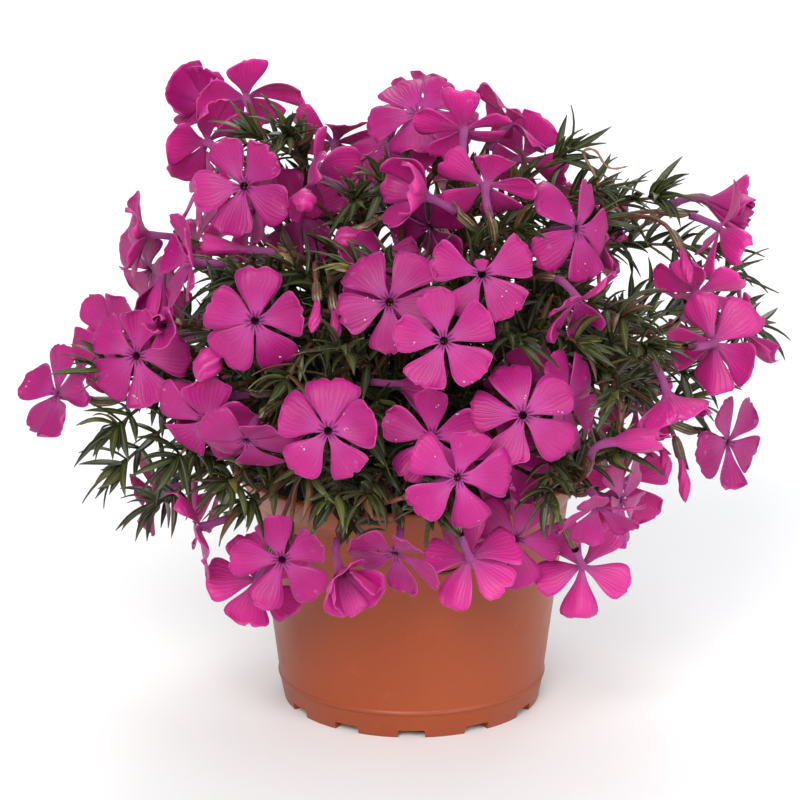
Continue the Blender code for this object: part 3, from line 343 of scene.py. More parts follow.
# How the stems, stalks and shoots run
STEM_FOOT = 4.0
STEM_RISE = 24.0
STEM_SAG = 10.0
STEM_ARCH = 0.45
STEM_OVER = 0.72
STEM_CLEAR = 20.0
STEM_WANDER = 0.2
STEM_RISE_SHARE = 0.5
STEM_END_SHARE = 0.35
STALK_BACK = 3.0
STALK_STEP = 0.07
STALK_SHIFT = 0.7
STALK_SPAN = 0.6
STALK_BEND = 0.2
STALK_WANDER = 0.2
SHOOT_ROOT = 0.88
SHOOT_STEP = 0.13
SHOOT_SHIFT = 0.25
SHOOT_REACH = 0.06
SHOOT_MIDDLE = 0.45
SHOOT_ARCH = 0.2
SHOOT_WANDER = 0.15
FIRST_WHORL = 0.55
TIP_WHORL = 1.4
WHORL_LEANS = (68.0, 56.0, 36.0)
LEAF_SPREAD = (0.85, 1.15)

# Furthest reach of the leaves to the sides and to the front and back
REACH_X = 105.0
REACH_Y = 95.0

# The stem whose tuft has caught the dried tendril
TENDRIL_SPRAY = 10


def view_axes() -> tuple[Vector, Vector, Vector]:
    """Right, up and forward of the front view.

    Returns:
        The three unit vectors.
    """
    forward = (AIM - EYE).normalized()
    right = forward.cross(Vector((0.0, 0.0, 1.0))).normalized()
    return right, right.cross(forward), forward


def sight(across: float, down: float) -> Vector:
    """The direction in which the viewer sees a place of the front view.

    Args:
        across: Its place from the left.
        down: Its place from the top.

    Returns:
        The unit vector.
    """
    right, up, forward = view_axes()
    ray = forward * VIEW_SCALE + right * (across - VIEW_MIDDLE) - up * (down - VIEW_MIDDLE)
    return ray.normalized()


def crown_radius(height: float) -> float:
    """Radius of the crown at a height: a dome above its middle, drawn in below it.

    Args:
        height: The height.

    Returns:
        The radius to the sides.
    """
    if height >= CROWN_MIDDLE:
        rise = min((height - CROWN_MIDDLE) / (CROWN_TOP - CROWN_MIDDLE), 0.999)
        return CROWN_RADIUS * math.sqrt(1.0 - rise * rise)
    share = min(max((height - CROWN_FOOT) / (CROWN_MIDDLE - CROWN_FOOT), 0.0), 1.0)
    return CROWN_SKIRT + (CROWN_RADIUS - CROWN_SKIRT) * share * share * (3.0 - 2.0 * share)


def crown_place(across: float, down: float, near: float) -> Vector:
    """Where a line of sight meets the crown, or passes nearest to it.

    Args:
        across: The line's place from the left of the front view.
        down: Its place from the top.
        near: How far the place is moved towards the viewer.

    Returns:
        The place.
    """
    ray = sight(across, down)
    best = (math.inf, EYE)
    for step in range(CROWN_STEPS):
        point = EYE + ray * ((step - CROWN_FRONT - EYE.y) / ray.y)
        reach = math.hypot(point.x, point.y / CROWN_DEPTH) / crown_radius(point.z)
        if reach < best[0]:
            best = (reach, point)
        if reach <= 1.0:
            break
    return best[1] - ray * near


def facing(turn: float, lift: float) -> Vector:
    """Unit vector of a facing.

    Args:
        turn: Its turn from the viewer in degrees.
        lift: Its lift in degrees.

    Returns:
        The unit vector.
    """
    turned, lifted = math.radians(turn), math.radians(lift)
    flat = math.cos(lifted)
    return Vector((math.sin(turned) * flat, -math.cos(turned) * flat, math.sin(lifted)))


def in_plane(direction: Vector, normal: Vector) -> Vector:
    """A direction laid into the plane across a normal."""
    return (direction - normal * direction.dot(normal)).normalized()


def bezier(points: list[Vector], count: int) -> list[Vector]:
    """Evenly stepped points on the Bezier curve of a few control points.

    Args:
        points: The control points.
        count: How many points are made.

    Returns:
        The points.
    """
    curve = []
    for step in range(count):
        level = [point.copy() for point in points]
        share = step / (count - 1)
        while len(level) > 1:
            level = [a.lerp(b, share) for a, b in zip(level, level[1:])]
        curve.append(level[0])
    return curve


def along(path: list[Vector], spacing: float) -> list[Vector]:
    """Points on a path at an even spacing, both ends with them.

    Args:
        path: The path.
        spacing: About how far apart they are.

    Returns:
        The points.
    """
    length = path_length(path)
    count = max(2, round(length / spacing) + 1)
    return [point_at(path, length * index / (count - 1)) for index in range(count)]


def point_at(path: list[Vector], distance: float) -> Vector:
    """The point of a path at a distance from its start.

    Args:
        path: The path.
        distance: The distance.

    Returns:
        The point, or the path's end past it.
    """
    for a, b in zip(path, path[1:]):
        step = (b - a).length
        if distance <= step:
            return a.lerp(b, distance / step if step else 0.0)
        distance -= step
    return path[-1].copy()


def path_length(path: list[Vector]) -> float:
    """Length of a path."""
    return sum((b - a).length for a, b in zip(path, path[1:]))


def frame_at(path: list[Vector], distance: float) -> tuple[Vector, Vector, Vector]:
    """The frame of a path at a distance from its start, or past its ends.

    Args:
        path: The path.
        distance: The distance.

    Returns:
        Place, heading and sideways direction.
    """
    heading = (path[1] - path[0]).normalized()
    level = FLAT_ASIDE if abs(heading.z) < STEEP else STEEP_ASIDE
    aside = in_plane(level, heading)
    left = distance
    for a, b in zip(path, path[1:]):
        step = b - a
        heading = step.normalized()
        aside = in_plane(aside, heading)
        if left <= step.length:
            return a + heading * left, heading, aside
        left -= step.length
    return path[-1] + heading * left, heading, aside


def around(heading: Vector, aside: Vector, angle: float) -> Vector:
    """The direction at an angle round a heading, from its sideways direction."""
    return aside * math.cos(angle) + heading.cross(aside) * math.sin(angle)


def petal_point(placed: PlacedBloom, petal: int, reach: float, aside: float) -> Vector:
    """A point of a petal's plain shape, as the layout takes it.

    Args:
        placed: The bloom.
        petal: The petal's number.
        reach: How far out the point is from the throat.
        aside: How far it is from the petal's middle.

    Returns:
        The point.
    """
    radial = placed.radial(math.tau * petal / PETALS)
    across = placed.normal.cross(radial)
    cup = math.radians(placed.bloom.cup)
    out = reach * math.cos(cup)
    room = max(out, 0.1) * math.tan(math.radians(PETAL_SPREAD))
    aside = max(-room, min(room, aside))
    rise = reach * math.sin(cup) - PETAL_FALL * (reach / PETAL_REACH) ** 2
    size = placed.bloom.size
    return placed.centre + (radial * out + across * aside + placed.normal * rise) * size


PETAL_BALLS = (
    (3.5, 0.0), (6.0, -1.3), (6.0, 1.3), (8.5, -3.2), (8.5, 0.0), (8.5, 3.2), (11.0, -4.6), (11.0, -1.6),
    (11.0, 1.6), (11.0, 4.6), (13.4, -2.8), (13.4, 0.0), (13.4, 2.8),
)
PETAL_BALL = 1.5
BUD_BALLS = (0.15, 0.4, 0.65, 0.9)
BUD_BALL = 1.9
TUBE_BALLS = (2.0, 4.0, 6.0, 8.0)


def bloom_balls(placed: PlacedBloom) -> tuple[np.ndarray, np.ndarray]:
    """Small balls that fill a bloom or a bud.

    Args:
        placed: The bloom.

    Returns:
        Their places and radii.
    """
    points = []
    radii = []
    if placed.bloom.bud:
        for share in BUD_BALLS:
            points.append(placed.centre + placed.normal * placed.bloom.bud * share)
            radii.append(BUD_BALL)
    else:
        for petal in range(PETALS):
            for reach, aside in PETAL_BALLS:
                points.append(petal_point(placed, petal, reach, aside))
                radii.append(PETAL_BALL)
    for distance in TUBE_BALLS:
        points.append(placed.centre - placed.normal * distance)
        radii.append(TUBE_RADIUS)
    return np.array(points), np.array(radii)


class Clearance:
    """What is already placed, as small balls, and the room that is left to it."""

    def __init__(self) -> None:
        """Starts with nothing placed."""
        self.places = np.zeros((0, 3))
        self.radii = np.zeros(0)
        self.owners = np.zeros(0, int)

    def add(self, points: np.ndarray, radii: np.ndarray, owner: int) -> None:
        """Adds the balls of one thing.

        Args:
            points: Their places.
            radii: Their radii, or one for all.
            owner: The number of the thing.
        """
        self.places = np.concatenate([self.places, points])
        self.radii = np.concatenate([self.radii, np.broadcast_to(radii, len(points))])
        self.owners = np.concatenate([self.owners, np.full(len(points), owner)])

    def room(self, points: np.ndarray, radii: np.ndarray, own: tuple = ()) -> float:
        """The smallest gap between some balls and those of others.

        Args:
            points: Places of the balls.
            radii: Their radii, or one for all.
            own: Owners that are left out.

        Returns:
            The gap, or FAR where nothing is near.
        """
        low, high = points.min(axis=0) - FAR, points.max(axis=0) + FAR
        close = ((self.places > low) & (self.places < high)).all(axis=1)
        close &= ~np.isin(self.owners, own)
        if not close.any():
            return FAR
        steps = points[:, None, :] - self.places[close][None, :, :]
        gaps = np.sqrt((steps * steps).sum(axis=2)) - self.radii[close][None, :]
        return float((gaps - np.broadcast_to(radii, len(points))[:, None]).min())


def outer_radius(height: np.ndarray) -> np.ndarray:
    """Outer radius of the pot at a height."""
    levels = (0.0, RING_HEIGHT, POT_HEIGHT - COLLAR_DROP, POT_HEIGHT)
    return np.interp(height, levels, (FOOT_RADIUS, RING_RADIUS, COLLAR_RADIUS, RIM_RADIUS))


def pot_room(points: np.ndarray, radius: float) -> float:
    """The smallest gap between some balls and the pot or its soil.

    Args:
        points: Places of the balls.
        radius: Their radius.

    Returns:
        The gap.
    """
    spread = np.hypot(points[:, 0], points[:, 1])
    height = points[:, 2]
    outer = outer_radius(height)
    inner = outer - WALL - WALL_SKIN
    above = height - POT_HEIGHT
    aside = np.maximum(spread - RIM_RADIUS, (RIM_RADIUS - WALL - WALL_SKIN) - spread)
    over_rim = np.hypot(np.maximum(aside, 0.0), above)
    beside = np.where(spread > (outer + inner) / 2, (spread - outer) * WALL_SLOPE, inner - spread)
    soil = np.where(spread < inner, height - SOIL_TOP - SOIL_BUMP, FAR)
    wall = np.where(above > 0.0, over_rim, beside)
    return float((np.minimum(wall, soil) - radius).min())


def array_of(points: list[Vector]) -> np.ndarray:
    """Vectors as the rows of an array."""
    return np.array([tuple(point) for point in points])


class Plant:
    """The layout of the whole plant, worked out spray by spray.

    In the clearance, a spray's own number stands for its stem, stalks, shoots and leaves, and the numbers
    after it for its blooms.
    """

    def __init__(self) -> None:
        """Lays the whole plant out."""
        self.chance = random.Random(SEED)
        self.clearance = Clearance()
        count = len(FRONT_PLANS) + REAR_SPRAYS
        self.sprays = [Spray(f"flowering_stem_{index + 1:02d}", OWNER_STEP * index) for index in range(count)]
        self.place_front_blooms()
        for number, spray in enumerate(self.sprays[len(FRONT_PLANS) :]):
            self.place_rear_blooms(number, spray)
        for spray in self.sprays:
            spray.hub = self.hub_of(spray)
        self.place_holes()
        for step in (self.grow_stem, self.grow_stalks, self.grow_shoots, self.grow_leaves):
            for spray in self.sprays:
                step(spray)

    def place_front_blooms(self) -> None:
        """Sets the front blooms on the crown, each moved along its line of sight until it is clear."""
        right, up, _ = view_axes()
        order = []
        for index, plan in enumerate(FRONT_PLANS):
            order += [(bloom, index, number + 1) for number, bloom in enumerate(plan.blooms)]
            self.sprays[index].placed = [None] * len(plan.blooms)
            self.sprays[index].ends = [crown_place(tip.across, tip.down, tip.near) for tip in plan.tips]
        order.sort(key=lambda entry: -entry[0].near)
        for bloom, index, number in order:
            start = crown_place(bloom.across, bloom.down, bloom.near)
            ray = sight(bloom.across, bloom.down)
            angle = math.radians(bloom.petal)
            normal = facing(bloom.turn, bloom.lift)
            first = in_plane(right * math.cos(angle) + up * math.sin(angle), normal)
            placed = PlacedBloom(bloom, start, normal, first)
            shifts = range(-NEARER_STEPS, FURTHER_STEPS)
            for shift in sorted(shifts, key=lambda shift: abs(shift) * (NEARER_COST if shift < 0 else 1.0)):
                placed.centre = start + ray * shift
                points, radii = bloom_balls(placed)
                if min(self.clearance.room(points, radii), pot_room(points, POT_GAP)) > BLOOM_GAP:
                    break
            self.sprays[index].placed[number - 1] = placed
            self.clearance.add(points, radii, self.sprays[index].owner + number)

    def place_rear_blooms(self, number: int, spray: Spray) -> None:
        """Spreads the blooms and shoot tips of a spray of the back, turned outwards.

        Args:
            number: The spray's number among those of the back.
            spray: The spray.
        """
        heading = REAR_SPAN[0] + (REAR_SPAN[1] - REAR_SPAN[0]) * (number + 0.5) / REAR_SPRAYS
        step = (REAR_TOP - REAR_LOW) / REAR_BLOOMS
        for place in range(REAR_BLOOMS + REAR_TIPS):
            is_tip = place >= REAR_BLOOMS
            low = REAR_LOW + step * (place % REAR_BLOOMS)
            for _ in range(REAR_TRIES):
                turn = heading + self.chance.uniform(-REAR_WANDER, REAR_WANDER)
                height = self.chance.uniform(low, low + step)
                radius = crown_radius(height * CROWN_TOP / REAR_TOP) * self.chance.uniform(*REAR_REACH)
                outward = facing(turn, 0.0)
                centre = Vector((outward.x * radius, outward.y * radius * REAR_DEPTH, height))
                if is_tip:
                    if self.clearance.room(array_of([centre]), REAR_TIP_ROOM) > 0.0:
                        spray.ends.append(centre)
                        break
                    continue
                lift = REAR_LIFT * (height - REAR_LIFT_MIDDLE) / REAR_LIFT_SPAN
                lift += self.chance.uniform(-REAR_LIFT_SPREAD, REAR_LIFT_SPREAD)
                normal = facing(turn + self.chance.uniform(-REAR_TURN_SPREAD, REAR_TURN_SPREAD), lift)
                bloom = Bloom(0.0, 0.0, 0.0, 0.0, cup=self.chance.uniform(*REAR_CUP))
                first = in_plane(facing(self.chance.uniform(0.0, 360.0), REAR_PETAL_LIFT), normal)
                placed = PlacedBloom(bloom, centre, normal, first)
                points, radii = bloom_balls(placed)
                if min(self.clearance.room(points, radii), pot_room(points, REAR_POT_GAP)) > BLOOM_GAP:
                    spray.placed.append(placed)
                    self.clearance.add(points, radii, spray.owner + len(spray.placed))
                    break

    def hub_of(self, spray: Spray) -> Vector:
        """Where a stem ends: amid its calyces, drawn in, and over the rim where they hang.

        Args:
            spray: Its spray.

        Returns:
            The place.
        """
        roots = [placed.centre - placed.normal * (TUBE_LENGTH + CALYX_LENGTH) for placed in spray.placed]
        roots += spray.ends[:1]
        hub = sum(roots, Vector()) / len(roots)
        hub = hub.lerp(Vector((0.0, 0.0, SOIL_TOP + HUB_HEIGHT)), HUB_PULL)
        if math.hypot(hub.x, hub.y) > RIM_RADIUS - HUB_INSIDE:
            hub.z = max(hub.z, POT_HEIGHT + HUB_OVER_RIM)
        return hub

    def place_holes(self) -> None:
        """Gives each stem its own hole in the soil, nearer to the middle the higher the stem ends."""
        taken: list[Vector] = []
        for spray in self.sprays:
            heading = math.atan2(spray.hub.y, spray.hub.x)
            high = min(max((spray.hub.z - HOLE_LOW) / HOLE_SPAN, 0.0), 1.0)
            radius = HOLE_OUTER - HOLE_INWARD * high
            for step in range(HOLE_TRIES):
                turned = heading + math.radians(HOLE_TURN) * ((step + 1) // 2) * (-1) ** step
                hole = Vector((radius * math.cos(turned), radius * math.sin(turned), SOIL_TOP))
                if all((hole - other).length > HOLE_SPACING for other in taken):
                    break
                if step % HOLE_RING == HOLE_RING - 1:
                    radius -= HOLE_SPACING
            taken.append(hole)
            spray.hole = hole

    def wander(self, point: Vector, spread: float) -> Vector:
        """A point moved at random."""
        return point + Vector(self.chance.gauss(0.0, spread) for _ in range(3))

    def route(
        self, controls_of: Callable[[int], list[Vector]], radius: float, skip: float, own: tuple
    ) -> tuple[float, list[Vector]]:
        """The first curve with room to spare, or else the roomiest.

        Args:
            controls_of: Gives the curve's control points for an attempt's number.
            radius: Its radius.
            skip: Length at its start that isn't tested.
            own: Owners that it may touch.

        Returns:
            The room and the points of the curve.
        """
        best = (-math.inf, [])
        for attempt in range(ATTEMPTS):
            curve = bezier(controls_of(attempt), CURVE_POINTS)
            tested = [point for point in along(curve, PATH_STEP) if (point - curve[0]).length > skip]
            points = array_of(tested or curve[-1:])
            room = min(self.clearance.room(points, radius, own), pot_room(points, radius))
            if room > best[0]:
                best = (room, curve)
            if room > PATH_GAP:
                break
        return best

    def grow_stem(self, spray: Spray) -> None:
        """Leads the stem from its hole to its end.

        Args:
            spray: The spray.
        """
        start = Vector((spray.hole.x, spray.hole.y, SOIL_TOP + STEM_FOOT))
        rise = Vector((spray.hole.x, spray.hole.y, SOIL_TOP + STEM_RISE))
        outward = math.hypot(spray.hub.x, spray.hub.y) - math.hypot(spray.hole.x, spray.hole.y)
        height = spray.hub.z - STEM_SAG + STEM_ARCH * outward
        height = max(height, POT_HEIGHT + STEM_CLEAR)
        over = Vector((spray.hub.x * STEM_OVER, spray.hub.y * STEM_OVER, height))

        def controls(attempt: int) -> list[Vector]:
            """Control points of the stem.

            Args:
                attempt: The attempt's number.

            Returns:
                The points.
            """
            spread = STEM_WANDER * attempt
            end = self.wander(spray.hub, spread * STEM_END_SHARE)
            return [start, self.wander(rise, spread * STEM_RISE_SHARE), self.wander(over, spread), end]

        _, curve = self.route(controls, STEM_RADIUS, 0.0, ())
        spray.stem.path = [Vector((start.x, start.y, SOIL_TOP - HOLE_DEPTH + GAP + ROOT_DEPTH))] + curve
        self.clearance.add(array_of(along(curve, PATH_STEP)), STEM_RADIUS, spray.owner)

    def grow_stalks(self, spray: Spray) -> None:
        """Leads a stalk from the stem to each bloom.

        Args:
            spray: The spray.
        """
        stem = spray.stem.path
        length = path_length(stem)
        for number, placed in enumerate(spray.placed):
            start = placed.centre + placed.normal * (placed.bloom.bud or -PETAL_BODY)
            behind = placed.centre - placed.normal * (TUBE_LENGTH + STALK_BACK)
            calyx = placed.centre - placed.normal * (TUBE_LENGTH + CALYX_LENGTH)

            def controls(attempt: int) -> list[Vector]:
                """Control points of one stalk.

                Args:
                    attempt: The attempt's number.

                Returns:
                    The points.
                """
                back = 1.0 + (length * STALK_STEP * number + attempt * STALK_SHIFT) % (length * STALK_SPAN)
                root = point_at(stem, length - back)
                bend = self.wander(calyx.lerp(root, STALK_BEND), STALK_WANDER * attempt)
                return [start, behind, bend, root]

            own = (spray.owner, spray.owner + number + 1)
            _, path = self.route(controls, STALK_RADIUS + GAP, START_SKIP, own)
            spray.stalks.append(path)
        for path in spray.stalks:
            self.clearance.add(array_of(along(path, PATH_STEP)[2:]), NODE_RADIUS, spray.owner)

    def grow_shoots(self, spray: Spray) -> None:
        """Leads a leafy shoot from the stem to each of its tips that can be reached.

        Args:
            spray: The spray.
        """
        stem = spray.stem.path
        length = path_length(stem)
        for number, end in enumerate(spray.ends):

            def controls(attempt: int) -> list[Vector]:
                """Control points of one shoot.

                Args:
                    attempt: The attempt's number.

                Returns:
                    The points.
                """
                root = point_at(stem, length * (SHOOT_ROOT - SHOOT_STEP * number) - SHOOT_SHIFT * attempt)
                stop = self.wander(end, SHOOT_REACH * attempt)
                rise = SHOOT_ARCH * (stop - root).length
                arch = root.lerp(stop, SHOOT_MIDDLE) + Vector((0.0, 0.0, rise))
                return [root, self.wander(arch, SHOOT_WANDER * attempt), stop]

            room, path = self.route(controls, STALK_RADIUS + BLOOM_GAP, START_SKIP, (spray.owner,))
            if room > GAP:
                spray.shoots.append(Shoot(path))
                self.clearance.add(array_of(along(path, PATH_STEP)), STALK_RADIUS, spray.owner)

    def grow_leaves(self, spray: Spray) -> None:
        """Sets whorls of needle leaves along the shoots and two close ones at their tips.

        Args:
            spray: The spray.
        """
        for shoot in spray.shoots:
            length = path_length(shoot.path)
            tip = length - TIP_WHORL * LEAF_BASE
            places = zip((length * FIRST_WHORL, tip - LEAF_BASE, tip), WHORL_LEANS)
            for number, (distance, lean) in enumerate(places):
                shoot.whorls.append(self.whorl(spray.owner, shoot.path, distance, number * WHORL_TWIST, lean))
            tip, heading, _ = frame_at(shoot.path, length)
            shoot.point = self.leaf_end(spray.owner, tip, heading)

    def whorl(self, owner: int, path: list, distance: float, twist: float, lean: float) -> Whorl:
        """A whorl of three leaves, without those that find no room.

        Args:
            owner: The spray's owner number.
            path: The shoot's path.
            distance: The way along it.
            twist: The turn of its first leaf.
            lean: Angle between leaves and path in degrees.

        Returns:
            The whorl.
        """
        place, heading, aside = frame_at(path, distance)
        tips = []
        for side in range(SIDES):
            angle = twist + WHORL_TWIST / 2 + math.tau * (side + 0.5) / SIDES
            outward = around(heading, aside, angle)
            end = None
            for _ in range(LEAF_TRIES):
                leaned = math.radians(lean + self.chance.uniform(-LEAN_SPREAD, LEAN_SPREAD))
                direction = heading * math.cos(leaned) + outward * math.sin(leaned)
                end = end or self.leaf_end(owner, place, direction)
            tips.append(end)
        return Whorl(distance, twist, tuple(tips))

    def leaf_end(self, owner: int, base: Vector, direction: Vector) -> Vector | None:
        """The end of a leaf, where it touches nothing.

        Args:
            owner: The spray's owner number.
            base: Where the leaf starts.
            direction: Which way it points.

        Returns:
            The end, or None where it would touch something.
        """
        end = base + direction * LEAF_LENGTH * self.chance.uniform(*LEAF_SPREAD)
        if abs(end.x) > REACH_X or abs(end.y) > REACH_Y:
            return None
        shares = [LEAF_BALL_START + LEAF_BALL_STEP * step for step in range(LEAF_BALLS)]
        points = array_of([base.lerp(end, share) for share in shares])
        radii = np.array([LEAF_WIDTH / 2 * (1.0 - LEAF_BALL_TAPER * step) for step in range(LEAF_BALLS)])
        if min(self.clearance.room(points, radii, (owner,)), pot_room(points, LEAF_POT_GAP)) < GAP:
            return None
        self.clearance.add(points, radii, owner)
        return end


class Slot(Enum):
    """The record's material slots."""

    POT = "pot"
    SOIL = "soil"
    PHLOX = "phlox"


def colour_of(red: int, green: int, blue: int) -> tuple[float, float, float, float]:
    """A scene-linear colour from screen values of 0 to 255.

    Args:
        red: Screen value of the red.
        green: That of the green.
        blue: That of the blue.

    Returns:
        The colour, opaque.
    """
    shares = [value / 255.0 for value in (red, green, blue)]
    linear = [share / 12.92 if share < 0.04045 else ((share + 0.055) / 1.055) ** 2.4 for share in shares]
    return (*linear, 1.0)


class Recipe:
    """The node tree of one material, built up from small steps round one shader."""

    def __init__(self, name: str, roughness: float) -> None:
        """Starts a material with a rough, non-metal shader.

        Args:
            name: The material's name.
            roughness: The shader's roughness.
        """
        self.material = bpy.data.materials.new(name)
        self.material.use_nodes = True
        self.tree = self.material.node_tree
        self.shader = self.tree.nodes["Principled BSDF"]
        self.value(Roughness=roughness, Metallic=0.0)

    def node(self, kind: str, *values: object, **settings: object) -> bpy.types.Node:
        """Adds a node.

        Args:
            kind: Blender's name for it.
            values: What its first inputs are fed with: sockets, numbers or vectors, or None to skip one.
            settings: Its own settings.

        Returns:
            The node.
        """
        made = self.tree.nodes.new(kind)
        for key, value in settings.items():
            setattr(made, key, value)
        for socket, value in zip(made.inputs, values):
            self.feed(socket, value)
        return made

    def feed(self, socket: bpy.types.NodeSocket, value: object) -> None:
        """Links a socket to another or sets its value.

        Args:
            socket: The socket that is fed.
            value: A socket or a plain value, or None to leave it.
        """
        if isinstance(value, bpy.types.NodeSocket):
            self.tree.links.new(value, socket)
        elif value is not None:
            socket.default_value = value

    def place(self) -> bpy.types.NodeSocket:
        """The place on the object in metres."""
        return self.node("ShaderNodeTexCoord").outputs["Object"]

    def across_along(self) -> tuple[bpy.types.NodeSocket, bpy.types.NodeSocket]:
        """The two coordinates of the piece's own map."""
        split = self.node("ShaderNodeSeparateXYZ", self.node("ShaderNodeTexCoord").outputs["UV"])
        return split.outputs[0], split.outputs[1]

    def tone(self) -> bpy.types.NodeSocket:
        """The tone of each petal or leaf: drawn at random for a petal, and for a leaf partly from its height
        and reach, as painted shade and light.
        """
        return self.node("ShaderNodeAttribute", attribute_name="tone").outputs["Fac"]

    def sum(self, kind: str, first: object, second: object = None) -> bpy.types.NodeSocket:
        """One step of arithmetic, named by the operation, on one or two numbers or sockets."""
        return self.node("ShaderNodeMath", first, second, operation=kind).outputs[0]

    def times(self, first: object, second: object) -> bpy.types.NodeSocket:
        """The product of two numbers."""
        return self.sum("MULTIPLY", first, second)

    def off(self, value: object, middle: float = 0.5) -> bpy.types.NodeSocket:
        """How far a number is from a middle."""
        return self.sum("ABSOLUTE", self.sum("SUBTRACT", value, middle))

    def grain(self, scale: float, detail: float = 3.0) -> bpy.types.NodeSocket:
        """Noise between 0 and 1.

        Args:
            scale: How many patches lie in a metre.
            detail: How many finer layers it has.

        Returns:
            The noise.
        """
        made = self.node("ShaderNodeTexNoise", self.place())
        self.feed(made.inputs["Scale"], scale)
        self.feed(made.inputs["Detail"], detail)
        return made.outputs["Fac"]

    def ramp(self, factor: bpy.types.NodeSocket, places: tuple, colours: tuple) -> bpy.types.NodeSocket:
        """A colour ramp.

        Args:
            factor: Where it is read.
            places: Place of each stop.
            colours: Colour of each stop.

        Returns:
            The colour.
        """
        made = self.node("ShaderNodeValToRGB", factor)
        elements = made.color_ramp.elements
        while len(elements) < len(places):
            elements.new(0.5)
        for element, place, colour in zip(elements, places, colours):
            element.position = place
            element.color = colour
        return made.outputs["Color"]

    def mix(self, factor: object, first: object, second: object) -> bpy.types.NodeSocket:
        """A colour between two.

        Args:
            factor: Share of the second.
            first: The first colour.
            second: The second colour.

        Returns:
            The colour.
        """
        made = self.node("ShaderNodeMix", factor, data_type="RGBA")
        self.feed(made.inputs[6], first)
        self.feed(made.inputs[7], second)
        return made.outputs[2]

    def shade(self, colour: object, amount: bpy.types.NodeSocket) -> bpy.types.NodeSocket:
        """A colour multiplied by a number.

        Args:
            colour: The colour.
            amount: The number.

        Returns:
            The colour.
        """
        made = self.node("ShaderNodeVectorMath", colour, operation="SCALE")
        self.feed(made.inputs["Scale"], amount)
        return made.outputs[0]

    def range(self, value: object, low: float, high: float, *ends: float) -> bpy.types.NodeSocket:
        """A number carried from the range low to high into another, 0 to 1 where the ends are left out."""
        return self.node("ShaderNodeMapRange", value, low, high, *(ends or (0.0, 1.0))).outputs[0]

    def mottle(self, scale: float, low: float, high: float) -> bpy.types.NodeSocket:
        """Soft patches between a low and a high number."""
        return self.range(self.grain(scale), *SOFT_NOISE, low, high)

    def bump(self, height: bpy.types.NodeSocket, distance: float, strength: float = 0.6) -> None:
        """Feeds a height to the shader's normal.

        Args:
            height: The height, as a share of the distance.
            distance: The full height in metres.
            strength: How much of it is used.
        """
        made = self.node("ShaderNodeBump")
        self.feed(made.inputs["Strength"], strength)
        self.feed(made.inputs["Distance"], distance)
        self.feed(made.inputs["Height"], height)
        self.feed(self.shader.inputs["Normal"], made.outputs["Normal"])

    def colour(self, value: object) -> None:
        """Feeds the shader's colour."""
        self.feed(self.shader.inputs["Base Color"], value)

    def value(self, **settings: object) -> None:
        """Sets plain values of the shader, with spaces for underscores in their names."""
        for key, value in settings.items():
            self.shader.inputs[key.replace("_", " ")].default_value = value


